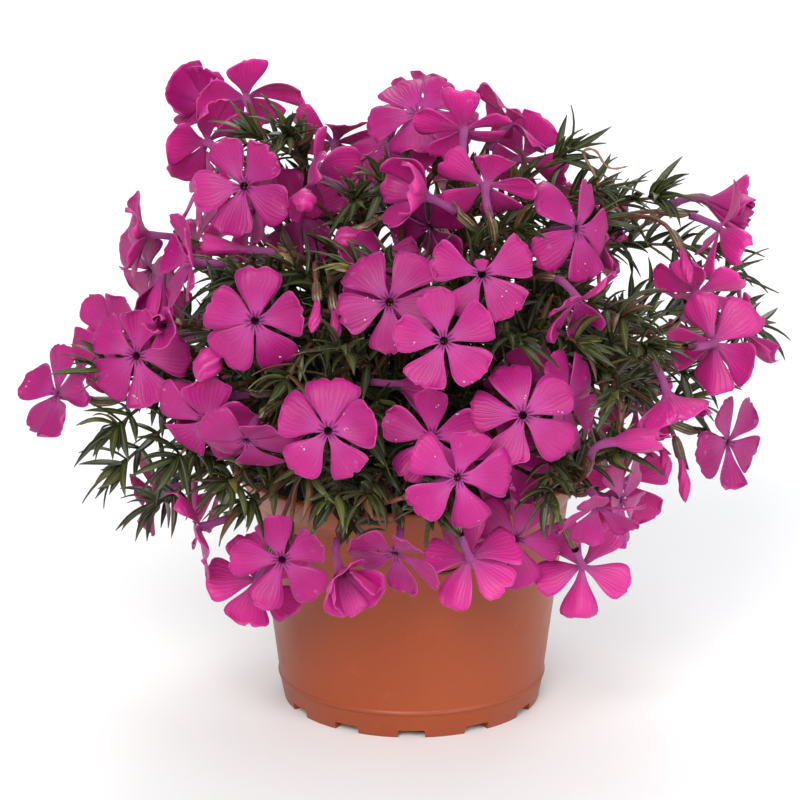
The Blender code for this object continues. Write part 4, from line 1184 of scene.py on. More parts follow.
@dataclass(frozen=True)
class PetalFinish:
    """Magenta petals with fine veins that fan out, dark marks round the throat, painted shade inside the tube
    and a painted highlight along the edges.

    A field that ends in along or aside is a range along the petal or off its middle line, and what the
    range's ends become. One that ends in scale is a number of patches in a metre.
    """

    name: str
    # throat: near black, painted shade inside the tube
    throat: tuple = colour_of(52, 6, 40)
    ring: tuple = colour_of(150, 62, 132)
    mark: tuple = colour_of(104, 2, 68)
    base: tuple = colour_of(166, 52, 130)
    middle: tuple = colour_of(157, 22, 108)
    tip: tuple = colour_of(162, 22, 107)
    # rim: pale lilac, a painted highlight along the petals' edges and tips that stands in for sheen
    rim: tuple = colour_of(194, 92, 160)
    blemish: tuple = colour_of(158, 112, 170)
    sheen: tuple = colour_of(255, 190, 230)
    stops: tuple = (0.18, 0.2, 0.225, 0.26, 0.62, 1.0)
    deep_aside: tuple = (0.12, 0.46, 0.0, 0.6)
    deep_along: tuple = (0.24, 0.4)
    marks: float = 0.95
    mark_middle: float = 0.22
    mark_aside: tuple = (0.04, 0.16, 1.0, 0.0)
    mark_along: tuple = (0.26, 0.33, 1.0, 0.0)
    vein: float = 0.09
    vein_turns: float = 62.0
    vein_wander: float = 9.0
    vein_power: float = 3.0
    vein_along: tuple = (0.45, 1.0, 1.0, 0.35)
    wander_scale: float = 260.0
    midrib_aside: tuple = (0.0, 0.035, 1.0, 0.0)
    # Masks of the painted highlight along the edges and at the tips, and where it fades in from the base
    highlight_rim_aside: tuple = (0.46, 0.5, 0.0, 0.34)
    highlight_rim_along: tuple = (0.97, 1.0, 0.0, 0.34)
    highlight_rim_start_along: tuple = (0.3, 0.5)
    worn_scale: float = 45.0
    worn: tuple = (0.52, 0.6, 0.0, 0.6)
    worn_along: tuple = (0.6, 0.85)
    blemish_scale: float = 520.0
    blemished: tuple = (0.62, 0.68)
    mottle: tuple = (140.0, 0.9, 1.08)
    toned: tuple = (0.0, 1.0, 0.8, 1.14)
    pore_scale: float = 900.0
    relief: float = 0.00008

    def make(self) -> bpy.types.Material:
        """Mixes the material.

        Returns:
            The material.
        """
        recipe = Recipe(self.name, 0.46)
        across, along = recipe.across_along()
        # On the face, the throat stop paints the shade inside the tube
        colours = (self.throat, self.ring, self.ring, self.base, self.middle, self.tip)
        ground = recipe.ramp(along, self.stops, colours)
        offset = recipe.off(across)
        deep = recipe.times(recipe.range(offset, *self.deep_aside), recipe.range(along, *self.deep_along))
        ground = recipe.mix(deep, ground, self.middle)
        streak = recipe.range(recipe.off(offset, self.mark_middle), *self.mark_aside)
        streak = recipe.times(streak, recipe.range(along, *self.mark_along))
        ground = recipe.mix(recipe.times(streak, self.marks), ground, self.mark)
        wander = recipe.times(recipe.grain(self.wander_scale, 2.0), self.vein_wander)
        phase = recipe.sum("ADD", recipe.times(across, self.vein_turns), wander)
        line = recipe.sum("POWER", recipe.range(recipe.sum("SINE", phase), -1.0, 1.0), self.vein_power)
        lines = recipe.sum("MAXIMUM", line, recipe.range(offset, *self.midrib_aside))
        faded = recipe.times(lines, recipe.range(along, *self.vein_along))
        dark = recipe.sum("SUBTRACT", 1.0, recipe.times(faded, self.vein))
        # Painted highlight: pale lilac along the edges and the tips, fading in from the base
        rim = recipe.sum("MAXIMUM", recipe.range(offset, *self.highlight_rim_aside), recipe.range(along, *self.highlight_rim_along))
        ground = recipe.mix(recipe.times(rim, recipe.range(along, *self.highlight_rim_start_along)), ground, self.rim)
        worn = recipe.range(recipe.grain(self.worn_scale), *self.worn)
        worn = recipe.times(worn, recipe.range(along, *self.worn_along))
        spots = recipe.range(recipe.grain(self.blemish_scale, 4.0), *self.blemished)
        ground = recipe.mix(recipe.times(spots, worn), ground, self.blemish)
        light = recipe.times(recipe.mottle(*self.mottle), recipe.range(recipe.tone(), *self.toned))
        recipe.colour(recipe.shade(ground, recipe.times(dark, light)))
        recipe.bump(recipe.sum("ADD", lines, recipe.grain(self.pore_scale)), self.relief)
        recipe.value(Sheen_Weight=0.06, Sheen_Roughness=0.35, Sheen_Tint=self.sheen, Specular_IOR_Level=0.28)
        recipe.value(Subsurface_Weight=0.2, Subsurface_Scale=0.0012, Subsurface_Radius=(1.0, 0.45, 0.75))
        return recipe.material


@dataclass(frozen=True)
class LeafFinish:
    """Needle leaves, dark green to olive, with a pale midrib and a few dry ones among them."""

    name: str = "needle_leaf"
    # dark stands for painted shade deep in the clump, and olive partly for painted light at its top and outside
    dark: tuple = colour_of(30, 35, 18)
    green: tuple = colour_of(54, 62, 29)
    olive: tuple = colour_of(96, 98, 46)
    straw: tuple = colour_of(142, 112, 70)
    brown: tuple = colour_of(92, 58, 42)
    rib: tuple = colour_of(128, 128, 80)
    stops: tuple = (0.0, 0.05, 0.5, 0.88, 0.97)
    rib_aside: tuple = (0.02, 0.14, 0.45, 0.0)
    rib_along: tuple = (0.5, 1.0, 1.0, 0.2)
    tip_along: tuple = (0.9, 1.0, 0.0, 0.5)
    channel_aside: tuple = (0.0, 0.2)
    mottle: tuple = (420.0, 0.82, 1.15)
    pore_scale: float = 2600.0
    relief: float = 0.00005

    def make(self) -> bpy.types.Material:
        """Mixes the material.

        Returns:
            The material.
        """
        recipe = Recipe(self.name, 0.42)
        across, along = recipe.across_along()
        colours = (self.brown, self.dark, self.green, self.olive, self.straw)
        # Read by the leaf's tone: dark green at the low end is painted shade, olive at the high end partly
        # painted light, and brown and straw are dry leaves
        ground = recipe.ramp(recipe.tone(), self.stops, colours)
        offset = recipe.off(across)
        rib = recipe.times(recipe.range(offset, *self.rib_aside), recipe.range(along, *self.rib_along))
        ground = recipe.mix(rib, ground, self.rib)
        ground = recipe.mix(recipe.range(along, *self.tip_along), ground, self.olive)
        recipe.colour(recipe.shade(ground, recipe.mottle(*self.mottle)))
        channel = recipe.range(offset, *self.channel_aside)
        recipe.bump(recipe.sum("ADD", channel, recipe.grain(self.pore_scale)), self.relief, 0.5)
        recipe.value(Specular_IOR_Level=0.45)
        return recipe.material


@dataclass(frozen=True)
class StemFinish:
    """Red-brown stems and stalks that turn green in places, with a fine length-wise grain."""

    name: str = "stem_bark"
    red: tuple = colour_of(112, 46, 42)
    brown: tuple = colour_of(76, 46, 34)
    green: tuple = colour_of(84, 88, 46)
    stops: tuple = (0.34, 0.5, 0.66)
    patch_scale: float = 60.0
    greening: float = 0.7
    groove_turns: float = 44.0
    mottle: tuple = (800.0, 0.75, 1.2)
    pore_scale: float = 1500.0
    relief: float = 0.00008

    def make(self) -> bpy.types.Material:
        """Mixes the material.

        Returns:
            The material.
        """
        recipe = Recipe(self.name, 0.42)
        across, _ = recipe.across_along()
        ground = recipe.ramp(recipe.grain(self.patch_scale), self.stops, (self.green, self.red, self.brown))
        ground = recipe.mix(recipe.times(recipe.tone(), self.greening), ground, self.green)
        recipe.colour(recipe.shade(ground, recipe.mottle(*self.mottle)))
        grooves = recipe.sum("SINE", recipe.times(across, self.groove_turns))
        recipe.bump(recipe.sum("ADD", grooves, recipe.grain(self.pore_scale)), self.relief)
        return recipe.material


@dataclass(frozen=True)
class CalyxFinish:
    """Calyces with green ribs and paler, reddish skin between them."""

    name: str = "calyx"
    rib: tuple = colour_of(58, 62, 34)
    skin: tuple = colour_of(152, 134, 104)
    flush: tuple = colour_of(112, 50, 54)
    flush_scale: float = 180.0
    flushed: tuple = (0.4, 0.6)
    ribbed: tuple = (-0.5, 0.3)
    mottle: tuple = (900.0, 0.8, 1.15)
    pore_scale: float = 2200.0
    relief: float = 0.0001

    def make(self) -> bpy.types.Material:
        """Mixes the material.

        Returns:
            The material.
        """
        recipe = Recipe(self.name, 0.42)
        across, _ = recipe.across_along()
        ribs = recipe.sum("COSINE", recipe.times(across, math.tau * PETALS * 2.0))
        stripe = recipe.range(ribs, *self.ribbed)
        flushed = recipe.range(recipe.grain(self.flush_scale), *self.flushed)
        ground = recipe.mix(stripe, recipe.mix(flushed, self.skin, self.flush), self.rib)
        recipe.colour(recipe.shade(ground, recipe.mottle(*self.mottle)))
        recipe.bump(recipe.sum("ADD", stripe, recipe.grain(self.pore_scale)), self.relief)
        return recipe.material


@dataclass(frozen=True)
class PotFinish:
    """Satin moulded plastic of a terracotta colour, with faint flow streaks, dust and scuffs."""

    name: str = "terracotta_plastic_satin"
    clay: tuple = colour_of(141, 61, 27)
    light: tuple = colour_of(147, 66, 31)
    dust: tuple = colour_of(160, 94, 62)
    flow_scale: float = 22.0
    flow: tuple = (0.35, 0.65)
    dust_scale: float = 420.0
    dusty: tuple = (0.6, 0.8, 0.0, 0.3)
    scuff_scale: float = 70.0
    roughness: tuple = (0.34, 0.5)
    pore_scale: float = 1100.0
    relief: float = 0.00005

    def make(self) -> bpy.types.Material:
        """Mixes the material.

        Returns:
            The material.
        """
        recipe = Recipe(self.name, 0.4)
        ground = recipe.mix(recipe.range(recipe.grain(self.flow_scale, 4.0), *self.flow), self.clay, self.light)
        dusty = recipe.range(recipe.grain(self.dust_scale, 5.0), *self.dusty)
        recipe.colour(recipe.mix(dusty, ground, self.dust))
        scuffs = recipe.range(recipe.grain(self.scuff_scale, 5.0), *SOFT_NOISE, *self.roughness)
        recipe.feed(recipe.shader.inputs["Roughness"], scuffs)
        recipe.bump(recipe.grain(self.pore_scale, 4.0), self.relief, 0.5)
        recipe.value(Specular_IOR_Level=0.38)
        return recipe.material


@dataclass(frozen=True)
class SoilFinish:
    """Dark peat with paler fibres."""

    name: str = "peat"
    black: tuple = colour_of(24, 17, 13)
    brown: tuple = colour_of(66, 46, 32)
    fibre_scale: float = 700.0
    crumb_scale: float = 1300.0
    relief: float = 0.0006

    def make(self) -> bpy.types.Material:
        """Mixes the material.

        Returns:
            The material.
        """
        recipe = Recipe(self.name, 0.95)
        recipe.colour(recipe.ramp(recipe.grain(self.fibre_scale, 6.0), (0.42, 0.75), (self.black, self.brown)))
        recipe.bump(recipe.grain(self.crumb_scale, 6.0), self.relief, 0.9)
        return recipe.material


@dataclass(frozen=True)
class PlainFinish:
    """One colour with a little mottling."""

    name: str
    tint: tuple
    roughness: float
    see_through: float = 0.0
    mottle: tuple = (900.0, 0.8, 1.2)

    def make(self) -> bpy.types.Material:
        """Mixes the material.

        Returns:
            The material.
        """
        recipe = Recipe(self.name, self.roughness)
        recipe.colour(recipe.shade(self.tint[:3], recipe.mottle(*self.mottle)))
        recipe.value(Transmission_Weight=self.see_through)
        return recipe.material


class Wardrobe:
    """Every finish of the plant, made once."""

    def __init__(self) -> None:
        """Makes all the materials."""
        self.petal = PetalFinish("petal_face").make()
        # The back is paler and brighter than the face: partly the underside's own paler colour, partly painted
        # light shining through the petal
        self.back = PetalFinish(
            "petal_back",
            throat=colour_of(146, 64, 124),
            ring=colour_of(144, 56, 118),
            base=colour_of(162, 54, 122),
            middle=colour_of(180, 38, 122),
            tip=colour_of(186, 38, 122),
            vein=0.16,
            marks=0.0,
        ).make()
        self.leaf = LeafFinish().make()
        self.stem = StemFinish().make()
        self.calyx = CalyxFinish().make()
        self.pot = PotFinish().make()
        self.soil = SoilFinish().make()
        self.pollen = PlainFinish("pollen", colour_of(186, 118, 52), 0.8).make()
        self.droplet = PlainFinish("water_droplet", colour_of(232, 198, 220), 0.1, 0.45).make()
        self.dried = PlainFinish("dried_tendril", colour_of(130, 96, 76), 0.75).make()


def added(name: str, data: bpy.types.ID) -> bpy.types.Object:
    """Adds an object to the scene.

    Args:
        name: Its name.
        data: Its mesh, light or camera.

    Returns:
        The object.
    """
    made = bpy.data.objects.new(name, data)
    bpy.context.scene.collection.objects.link(made)
    return made


def mesh_of(maker: bmesh.types.BMesh, name: str) -> bpy.types.Mesh:
    """Turns a mesh in the making into a finished one.

    Args:
        maker: The mesh in the making, which is used up.
        name: The name of the finished one.

    Returns:
        The finished mesh.
    """
    mesh = bpy.data.meshes.new(name)
    maker.to_mesh(mesh)
    maker.free()
    return mesh


def shade(mesh: bpy.types.Mesh, sharp: float) -> None:
    """Shades a mesh smooth.

    Args:
        mesh: The mesh.
        sharp: Angle in degrees past which edges stay sharp, or 0 for none.
    """
    mesh.shade_smooth()
    if sharp:
        mesh.set_sharp_from_angle(angle=math.radians(sharp))


def edges_of(corners: list) -> list:
    """The edges that meet some corners, in the same order each run."""
    return list(dict.fromkeys(edge for corner in corners for edge in corner.link_edges))


def faces_of(corners: list) -> list:
    """The faces that meet some corners, in the same order each run."""
    return list(dict.fromkeys(face for corner in corners for face in corner.link_faces))


def of_kind(parts: list, kind: type) -> list:
    """The corners, edges or faces among some parts of a mesh."""
    return [part for part in parts if isinstance(part, kind)]


def thicken(maker: bmesh.types.BMesh, sheet: list, thickness: float) -> list:
    """Gives an open sheet a thickness: its raised front keeps material 0, and its back gets material 1.

    Args:
        maker: The mesh that holds it.
        sheet: Its faces.
        thickness: How far the front is raised from the back.

    Returns:
        The faces of the front.
    """
    grown = bmesh.ops.extrude_face_region(maker, geom=sheet, use_keep_orig=True)["geom"]
    front = of_kind(grown, bmesh.types.BMFace)
    for corner in of_kind(grown, bmesh.types.BMVert):
        corner.co += corner.normal * thickness
    for faces, material in ((front, 0), (sheet, 1)):
        for face in faces:
            face.material_index = material
    bmesh.ops.reverse_faces(maker, faces=sheet)
    return front


def bevel(maker: bmesh.types.BMesh, edges: list, offset: float, segments: int) -> None:
    """Rounds some edges of a mesh over an offset, in a number of steps."""
    settings = {"affect": "EDGES", "profile": 0.5, "material": -1}
    bmesh.ops.bevel(maker, geom=edges, offset=offset, segments=segments, **settings)


class Piece:
    """A mesh in the making, in millimetres, with a map and a tone, that ends as one piece of the scene."""

    def __init__(self, name: str) -> None:
        """Starts an empty mesh.

        Args:
            name: The piece's name.
        """
        self.name = name
        self.maker = bmesh.new()
        self.map = self.maker.loops.layers.uv.new("surface")
        self.tones = self.maker.verts.layers.float.new("tone")
        self.sides = self.maker.verts.layers.int.new("side")
        self.reach = self.maker.verts.layers.float.new("reach")

    def finish(self, slot: Slot, materials: list, replaced: tuple = (), sharp: float = 0.0) -> bpy.types.Object:
        """Makes the object, with its outside faces turned out and its size in metres.

        Args:
            slot: Not used.
            materials: Its materials, in the order of its faces' numbers.
            replaced: CAD nodes that it stands for.
            sharp: Angle in degrees past which edges stay sharp, or 0 for none.

        Returns:
            The object.
        """
        layers = self.maker.verts.layers
        layers.int.remove(self.sides)
        layers.float.remove(layers.float["reach"])
        bmesh.ops.recalc_face_normals(self.maker, faces=self.maker.faces)
        bmesh.ops.transform(self.maker, matrix=Matrix.Scale(MM, 4), verts=self.maker.verts)
        mesh = mesh_of(self.maker, self.name)
        shade(mesh, sharp)
        for material in materials:
            mesh.materials.append(material)
        made = added(self.name, mesh)
        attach(made, "root")
        if replaced:
            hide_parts(*replaced)
        log.info("%s: %d faces", self.name, len(mesh.polygons))
        return made

    def append(self, template: bpy.types.Mesh) -> list:
        """Adds a copy of a small mesh.

        Args:
            template: The mesh.

        Returns:
            The vertices of the copy.
        """
        before = len(self.maker.verts)
        self.maker.from_mesh(template)
        self.maker.verts.ensure_lookup_table()
        return self.maker.verts[before:]

    def ball(self, place: Vector, turn: Matrix, size: tuple[float, float, float]) -> list:
        """Adds a small faceted ball with a radius along each of its axes, and gives its vertices."""
        matrix = Matrix.Translation(place) @ turn @ Matrix.Diagonal((*size, 1.0))
        return bmesh.ops.create_icosphere(self.maker, subdivisions=1, radius=1.0, matrix=matrix)["verts"]

    def turn(self, profile: list[tuple[float, float]], steps: int) -> None:
        """Turns a line round the upright axis.

        Args:
            profile: Radius and height of its corners, from the axis and back to it.
            steps: Number of sides of the turned shape.
        """
        corners = [self.maker.verts.new((radius, 0.0, height)) for radius, height in profile]
        edges = [self.maker.edges.new(pair) for pair in zip(corners, corners[1:])]
        bmesh.ops.spin(
            self.maker,
            geom=corners + edges,
            cent=(0.0, 0.0, 0.0),
            axis=(0.0, 0.0, 1.0),
            angle=math.tau,
            steps=steps,
            use_merge=True,
            use_duplicate=False,
        )
        bmesh.ops.remove_doubles(self.maker, verts=self.maker.verts, dist=WELD)

    def tube(
        self,
        path: list[Vector],
        stops: list[tuple],
        sides: int,
        tone: float = 0.0,
        material: int = 0,
        lobe: float = 0.0,
        ahead: float = 0.0,
    ) -> list:
        """Draws a closed tube along a path, ring by ring, and rounds off its far end to a point.

        Args:
            path: Its axis.
            stops: Distance along the path, radius and twist of each ring.
            sides: Number of its sides.
            tone: Its tone.
            material: The number of its material.
            lobe: Depth of its five lobes, as a share of the radius.
            ahead: What its map reads at the start of the path, counted down along it, or 0 to count up.

        Returns:
            The faces of each span.
        """
        ring = bmesh.ops.create_circle(self.maker, cap_ends=True, segments=sides, radius=1.0)["verts"]
        for number, corner in enumerate(ring):
            corner[self.sides] = number
            corner[self.tones] = tone
        faces = list(ring[0].link_faces)
        spans = []
        self.set_ring(ring, path, stops[0], sides, lobe)
        for stop in stops[1:]:
            edges = [edge for edge in edges_of(ring) if all(end in ring for end in edge.verts)]
            grown = bmesh.ops.extrude_edge_only(self.maker, edges=edges)["geom"]
            ring = of_kind(grown, bmesh.types.BMVert)
            spans.append(of_kind(grown, bmesh.types.BMFace))
            self.set_ring(ring, path, stop, sides, lobe)
        for span in spans:
            faces += span
        for face in faces:
            face.material_index = material
            numbers = [loop.vert[self.sides] for loop in face.loops]
            wraps = max(numbers) - min(numbers) > 1 and len(numbers) == 4
            for loop, number in zip(face.loops, numbers):
                number += sides if wraps and number == 0 else 0
                level = loop.vert[self.reach] / MAP_LENGTH
                loop[self.map].uv = (number / sides, ahead - level if ahead else level)
        end, heading, _ = frame_at(path, stops[-1][0])
        rounding = TUBE_TIP if stops[-1][0] > stops[0][0] else -TUBE_TIP
        bmesh.ops.pointmerge(self.maker, verts=ring, merge_co=end + heading * stops[-1][1] * rounding)
        return spans

    def set_ring(self, ring: list, path: list[Vector], stop: tuple, sides: int, lobe: float) -> None:
        """Puts the corners of a ring round a place of a path.

        Args:
            ring: The corners.
            path: The path.
            stop: Distance along the path, radius and twist.
            sides: How many corners there are.
            lobe: Depth of its five lobes, as a share of the radius.
        """
        distance, radius, twist = stop
        place, heading, aside = frame_at(path, distance)
        for corner in ring:
            angle = math.tau * corner[self.sides] / sides
            swell = 1.0 + lobe * math.cos(PETALS * angle)
            corner.co = place + around(heading, aside, angle + twist) * radius * swell
            corner[self.reach] = distance


@dataclass
class Corolla:
    """One open flower: five petals with veined, notched blades that run down into a slender tube."""

    placed: PlacedBloom
    path: list
    chance: random.Random
    columns: int = 8
    tube_rows: int = 3
    blade_rows: int = 11
    thickness: float = 0.2
    throat: float = 1.3
    throat_map: float = 0.2
    tube: float = 0.95
    tube_flare: float = 0.8
    tube_swell: float = 0.1
    tone_shares: tuple = (0.75, 0.25)
    closing: tuple = (30.0, 30.0)
    closed_width: float = 0.32
    closed_lift: float = 4.5
    width: float = 5.95
    swelling: tuple = (0.19, 0.81)
    shoulder: float = 0.04
    shoulder_depth: float = 0.66
    blunt_power: float = 2.6
    notch: float = 0.7
    notch_width: float = 0.17
    frays: tuple = (9.0, 21.0)
    fray_share: float = 0.6
    fold_power: float = 1.4
    ruffles: tuple = (5.2, 2.0)
    ruffle_shares: tuple = (0.3, 0.7)
    groove: float = 0.2
    groove_width: float = 0.16

    @property
    def closed(self) -> float:
        """How far the flower is from being open, 0 to 1."""
        start, span = self.closing
        return min(max((self.placed.bloom.cup - start) / span, 0.0), 1.0)

    def build(self, piece: Piece) -> list:
        """Adds the flower to a piece.

        Args:
            piece: The piece.

        Returns:
            The faces of its front.
        """
        tone = self.chance.random()
        mood = self.chance.uniform(-1.0, 1.0)
        faces = []
        seam = []
        rows = self.tube_rows + self.blade_rows
        for petal in range(PETALS):
            habit = Habit.drawn(self.chance, mood, petal == self.placed.bloom.missing)
            shared = self.tone_shares[0] * tone + self.tone_shares[1] * habit.tone
            made = bmesh.ops.create_grid(piece.maker, x_segments=self.columns, y_segments=rows, size=1.0)
            grid = made["verts"]
            spots = {}
            for corner in grid:
                row = round((corner.co.y + 1.0) / 2.0 * rows) - self.tube_rows
                across = corner.co.x
                along = row / (self.blade_rows if row > 0 else self.tube_rows)
                span = 1.0 - self.throat_map if along > 0 else self.throat_map
                spots[corner] = ((across + 1.0) / 2.0, self.throat_map + along * span)
                corner[piece.tones] = min(max(shared, 0.0), 1.0)
                if row <= 0 and abs(across) > 0.99:
                    seam.append(corner)
                if row <= 0:
                    corner.co = self.tube_place(petal, -along, across)
                else:
                    corner.co = self.blade_place(petal, along, across, habit)
            own = faces_of(grid)
            for face in own:
                for loop in face.loops:
                    loop[piece.map].uv = spots[loop.vert]
            faces += own
        bmesh.ops.remove_doubles(piece.maker, verts=seam, dist=WELD)
        front = [face for face in faces if face.is_valid]
        corners = list(dict.fromkeys(corner for face in front for corner in face.verts))
        for part in (*front, *corners):
            part.normal_update()
        if sum(face.normal.dot(self.placed.normal) for face in front) < 0.0:
            bmesh.ops.reverse_faces(piece.maker, faces=front)
            for corner in corners:
                corner.normal_update()
        return thicken(piece.maker, front, self.thickness)

    def tube_place(self, petal: int, down: float, across: float) -> Vector:
        """A point of the tube, down its length from the throat.

        Args:
            petal: The number of the petal that runs into it.
            down: Share of the way down the tube.
            across: Share of the way across the petal, -1 to 1.

        Returns:
            The point.
        """
        depth = down * (TUBE_LENGTH + 1.0)
        place, heading, _ = frame_at(self.path, depth - PETAL_BODY)
        radial = in_plane(self.placed.radial(math.tau * (petal + across / 2.0) / PETALS), heading)
        flare = (self.throat - self.tube) * math.exp(-depth / self.tube_flare)
        radius = self.tube + flare + self.tube_swell * depth / TUBE_LENGTH
        return place + radial * radius * self.placed.bloom.size

    def blade_place(self, petal: int, along: float, across: float, habit: Habit) -> Vector:
        """A point of a petal's blade.

        Args:
            petal: The petal's number.
            along: Share of the way from the throat to the tip.
            across: Share of the way from the middle to the edge, -1 to 1.
            habit: How this petal is shaped.

        Returns:
            The point.
        """
        rise = math.sin(math.pi / 2.0 * min(along / habit.widest, 1.0)) ** habit.wedge
        swelling = self.swelling[0] + self.swelling[1] * rise
        past = max(along - habit.widest + self.shoulder, 0.0) / (1.0 + self.shoulder - habit.widest)
        rounding = math.sqrt(1.0 - self.shoulder_depth * past**habit.corner)
        half = self.width * (habit.wide + self.closed_width * self.closed) * swelling * rounding
        length = PETAL_REACH * habit.long - self.throat
        dent = math.exp(-(((across - habit.split) / self.notch_width) ** 2))
        tip = habit.blunt * length * abs(across) ** self.blunt_power + self.notch * habit.notch * dent
        coarse = math.sin(self.frays[0] * across + habit.phase)
        fine = math.sin(self.frays[1] * across - habit.phase)
        tip += habit.fray * (coarse + self.fray_share * fine)
        reach = self.throat + length * along - tip * along**4
        aside = half * across
        outer = along * along
        lifted = habit.pitch * length * outer + habit.curl * outer * along
        lifted += habit.droop * across * across * along
        closing = self.closed * self.closed_lift * outer * along
        lifted += habit.fold * (abs(across) ** self.fold_power) * along + closing
        wave = math.sin(self.ruffles[0] * across + habit.phase + self.ruffles[1] * along)
        share = self.ruffle_shares[0] + self.ruffle_shares[1] * across * across
        lifted += habit.ruffle * wave * outer * share
        groove = self.groove * math.exp(-((across / self.groove_width) ** 2)) * (1.0 - along)
        lifted += habit.lean * aside * along - groove
        aside += habit.sweep * outer
        return self.blade_point(petal, reach * habit.size, aside * habit.size, lifted * habit.size)

    def blade_point(self, petal: int, reach: float, aside: float, lifted: float) -> Vector:
        """A point of a petal, wrapped round the flower's axis as far as the flower is closed.

        Args:
            petal: The petal's number.
            reach: How far out it is from the throat.
            aside: How far it is from the petal's middle.
            lifted: How far it is raised off the petal's own plane.

        Returns:
            The point.
        """
        placed = self.placed
        radial = placed.radial(math.tau * petal / PETALS)
        across = placed.normal.cross(radial)
        cup = math.radians(placed.bloom.cup)
        out = max(reach * math.cos(cup) - lifted * math.sin(cup), 0.5)
        fall = PETAL_FALL * (1.0 - self.closed) * (reach / PETAL_REACH) ** 2
        rise = reach * math.sin(cup) - fall + lifted * math.cos(cup)
        turn = min(max(aside / out, -1.0), 1.0)
        wrapped = (radial * math.cos(turn) + across * math.sin(turn)) * out
        flat = radial * out + across * aside
        return placed.centre + (flat.lerp(wrapped, self.closed) + placed.normal * rise) * placed.bloom.size


@dataclass(frozen=True)
class Habit:
    """How one petal differs from the next."""

    long: float
    wide: float
    widest: float
    wedge: float
    corner: float
    blunt: float
    pitch: float
    notch: float
    split: float
    fray: float
    phase: float
    curl: float
    droop: float
    fold: float
    ruffle: float
    lean: float
    sweep: float
    tone: float
    size: float

    @classmethod
    def drawn(cls, chance: random.Random, mood: float, dropped: bool) -> Habit:
        """A habit drawn at random.

        Args:
            chance: The source of the draws.
            mood: How far the petals of this flower are bent back, -1 to 1.
            dropped: Whether the petal has dropped, so that a stub is left.

        Returns:
            The habit.
        """
        return cls(
            long=chance.uniform(0.92, 1.0),
            wide=(0.96 + 0.12 * mood) * chance.uniform(0.82, 1.12),
            widest=chance.uniform(0.74, 0.9),
            wedge=chance.uniform(1.2, 2.1),
            corner=chance.uniform(1.8, 4.5),
            blunt=chance.uniform(0.03, 0.12),
            pitch=chance.gauss(0.0, 0.18),
            notch=chance.uniform(0.0, 1.7),
            split=chance.gauss(0.0, 0.12),
            fray=chance.uniform(0.04, 0.16),
            phase=chance.uniform(0.0, math.tau),
            curl=-1.1 * mood + chance.gauss(0.0, 1.3),
            droop=chance.gauss(-0.5 * mood, 1.0),
            fold=chance.gauss(0.35, 0.9),
            ruffle=chance.uniform(0.3, 1.0),
            lean=0.13 + chance.gauss(0.0, 0.11),
            sweep=chance.uniform(-0.9, 0.9),
            tone=chance.random(),
            size=0.3 if dropped else 1.0,
        )


@dataclass
class Needle:
    """The shape of one needle leaf, a narrow blade with a channel along it, laid from 0 to 1 along y."""

    rows: int = 6
    thickness: float = 0.28
    widths: tuple = (0.66, 0.34)
    fullest: float = 1.1
    taper: float = 4.6
    tip: float = 0.04
    channel: float = 0.3

    def template(self) -> bpy.types.Mesh:
        """A small mesh of it, with its width in half widths.

        Returns:
            The mesh.
        """
        piece = Piece("needle_template")
        grid = bmesh.ops.create_grid(piece.maker, x_segments=2, y_segments=self.rows, size=1.0)["verts"]
        for corner in grid:
            across = corner.co.x
            along = (corner.co.y + 1.0) / 2.0
            for loop in corner.link_loops:
                loop[piece.map].uv = ((across + 1.0) / 2.0, along)
            full = self.widths[0] + self.widths[1] * math.sin(math.pi * min(along * self.fullest, 1.0))
            width = full * (1.0 - along**self.taper) + self.tip
            corner.co = Vector((across * width, along, self.channel * across**2 * width))
        piece.maker.normal_update()
        thicken(piece.maker, piece.maker.faces[:], self.thickness)
        for face in piece.maker.faces:
            face.material_index = 0
        bmesh.ops.recalc_face_normals(piece.maker, faces=piece.maker.faces)
        return mesh_of(piece.maker, piece.name)


@dataclass(frozen=True)
class Leaf:
    """One needle leaf from its base to its tip, with its tone and full width."""

    base: Vector
    tip: Vector
    tone: float
    width: float


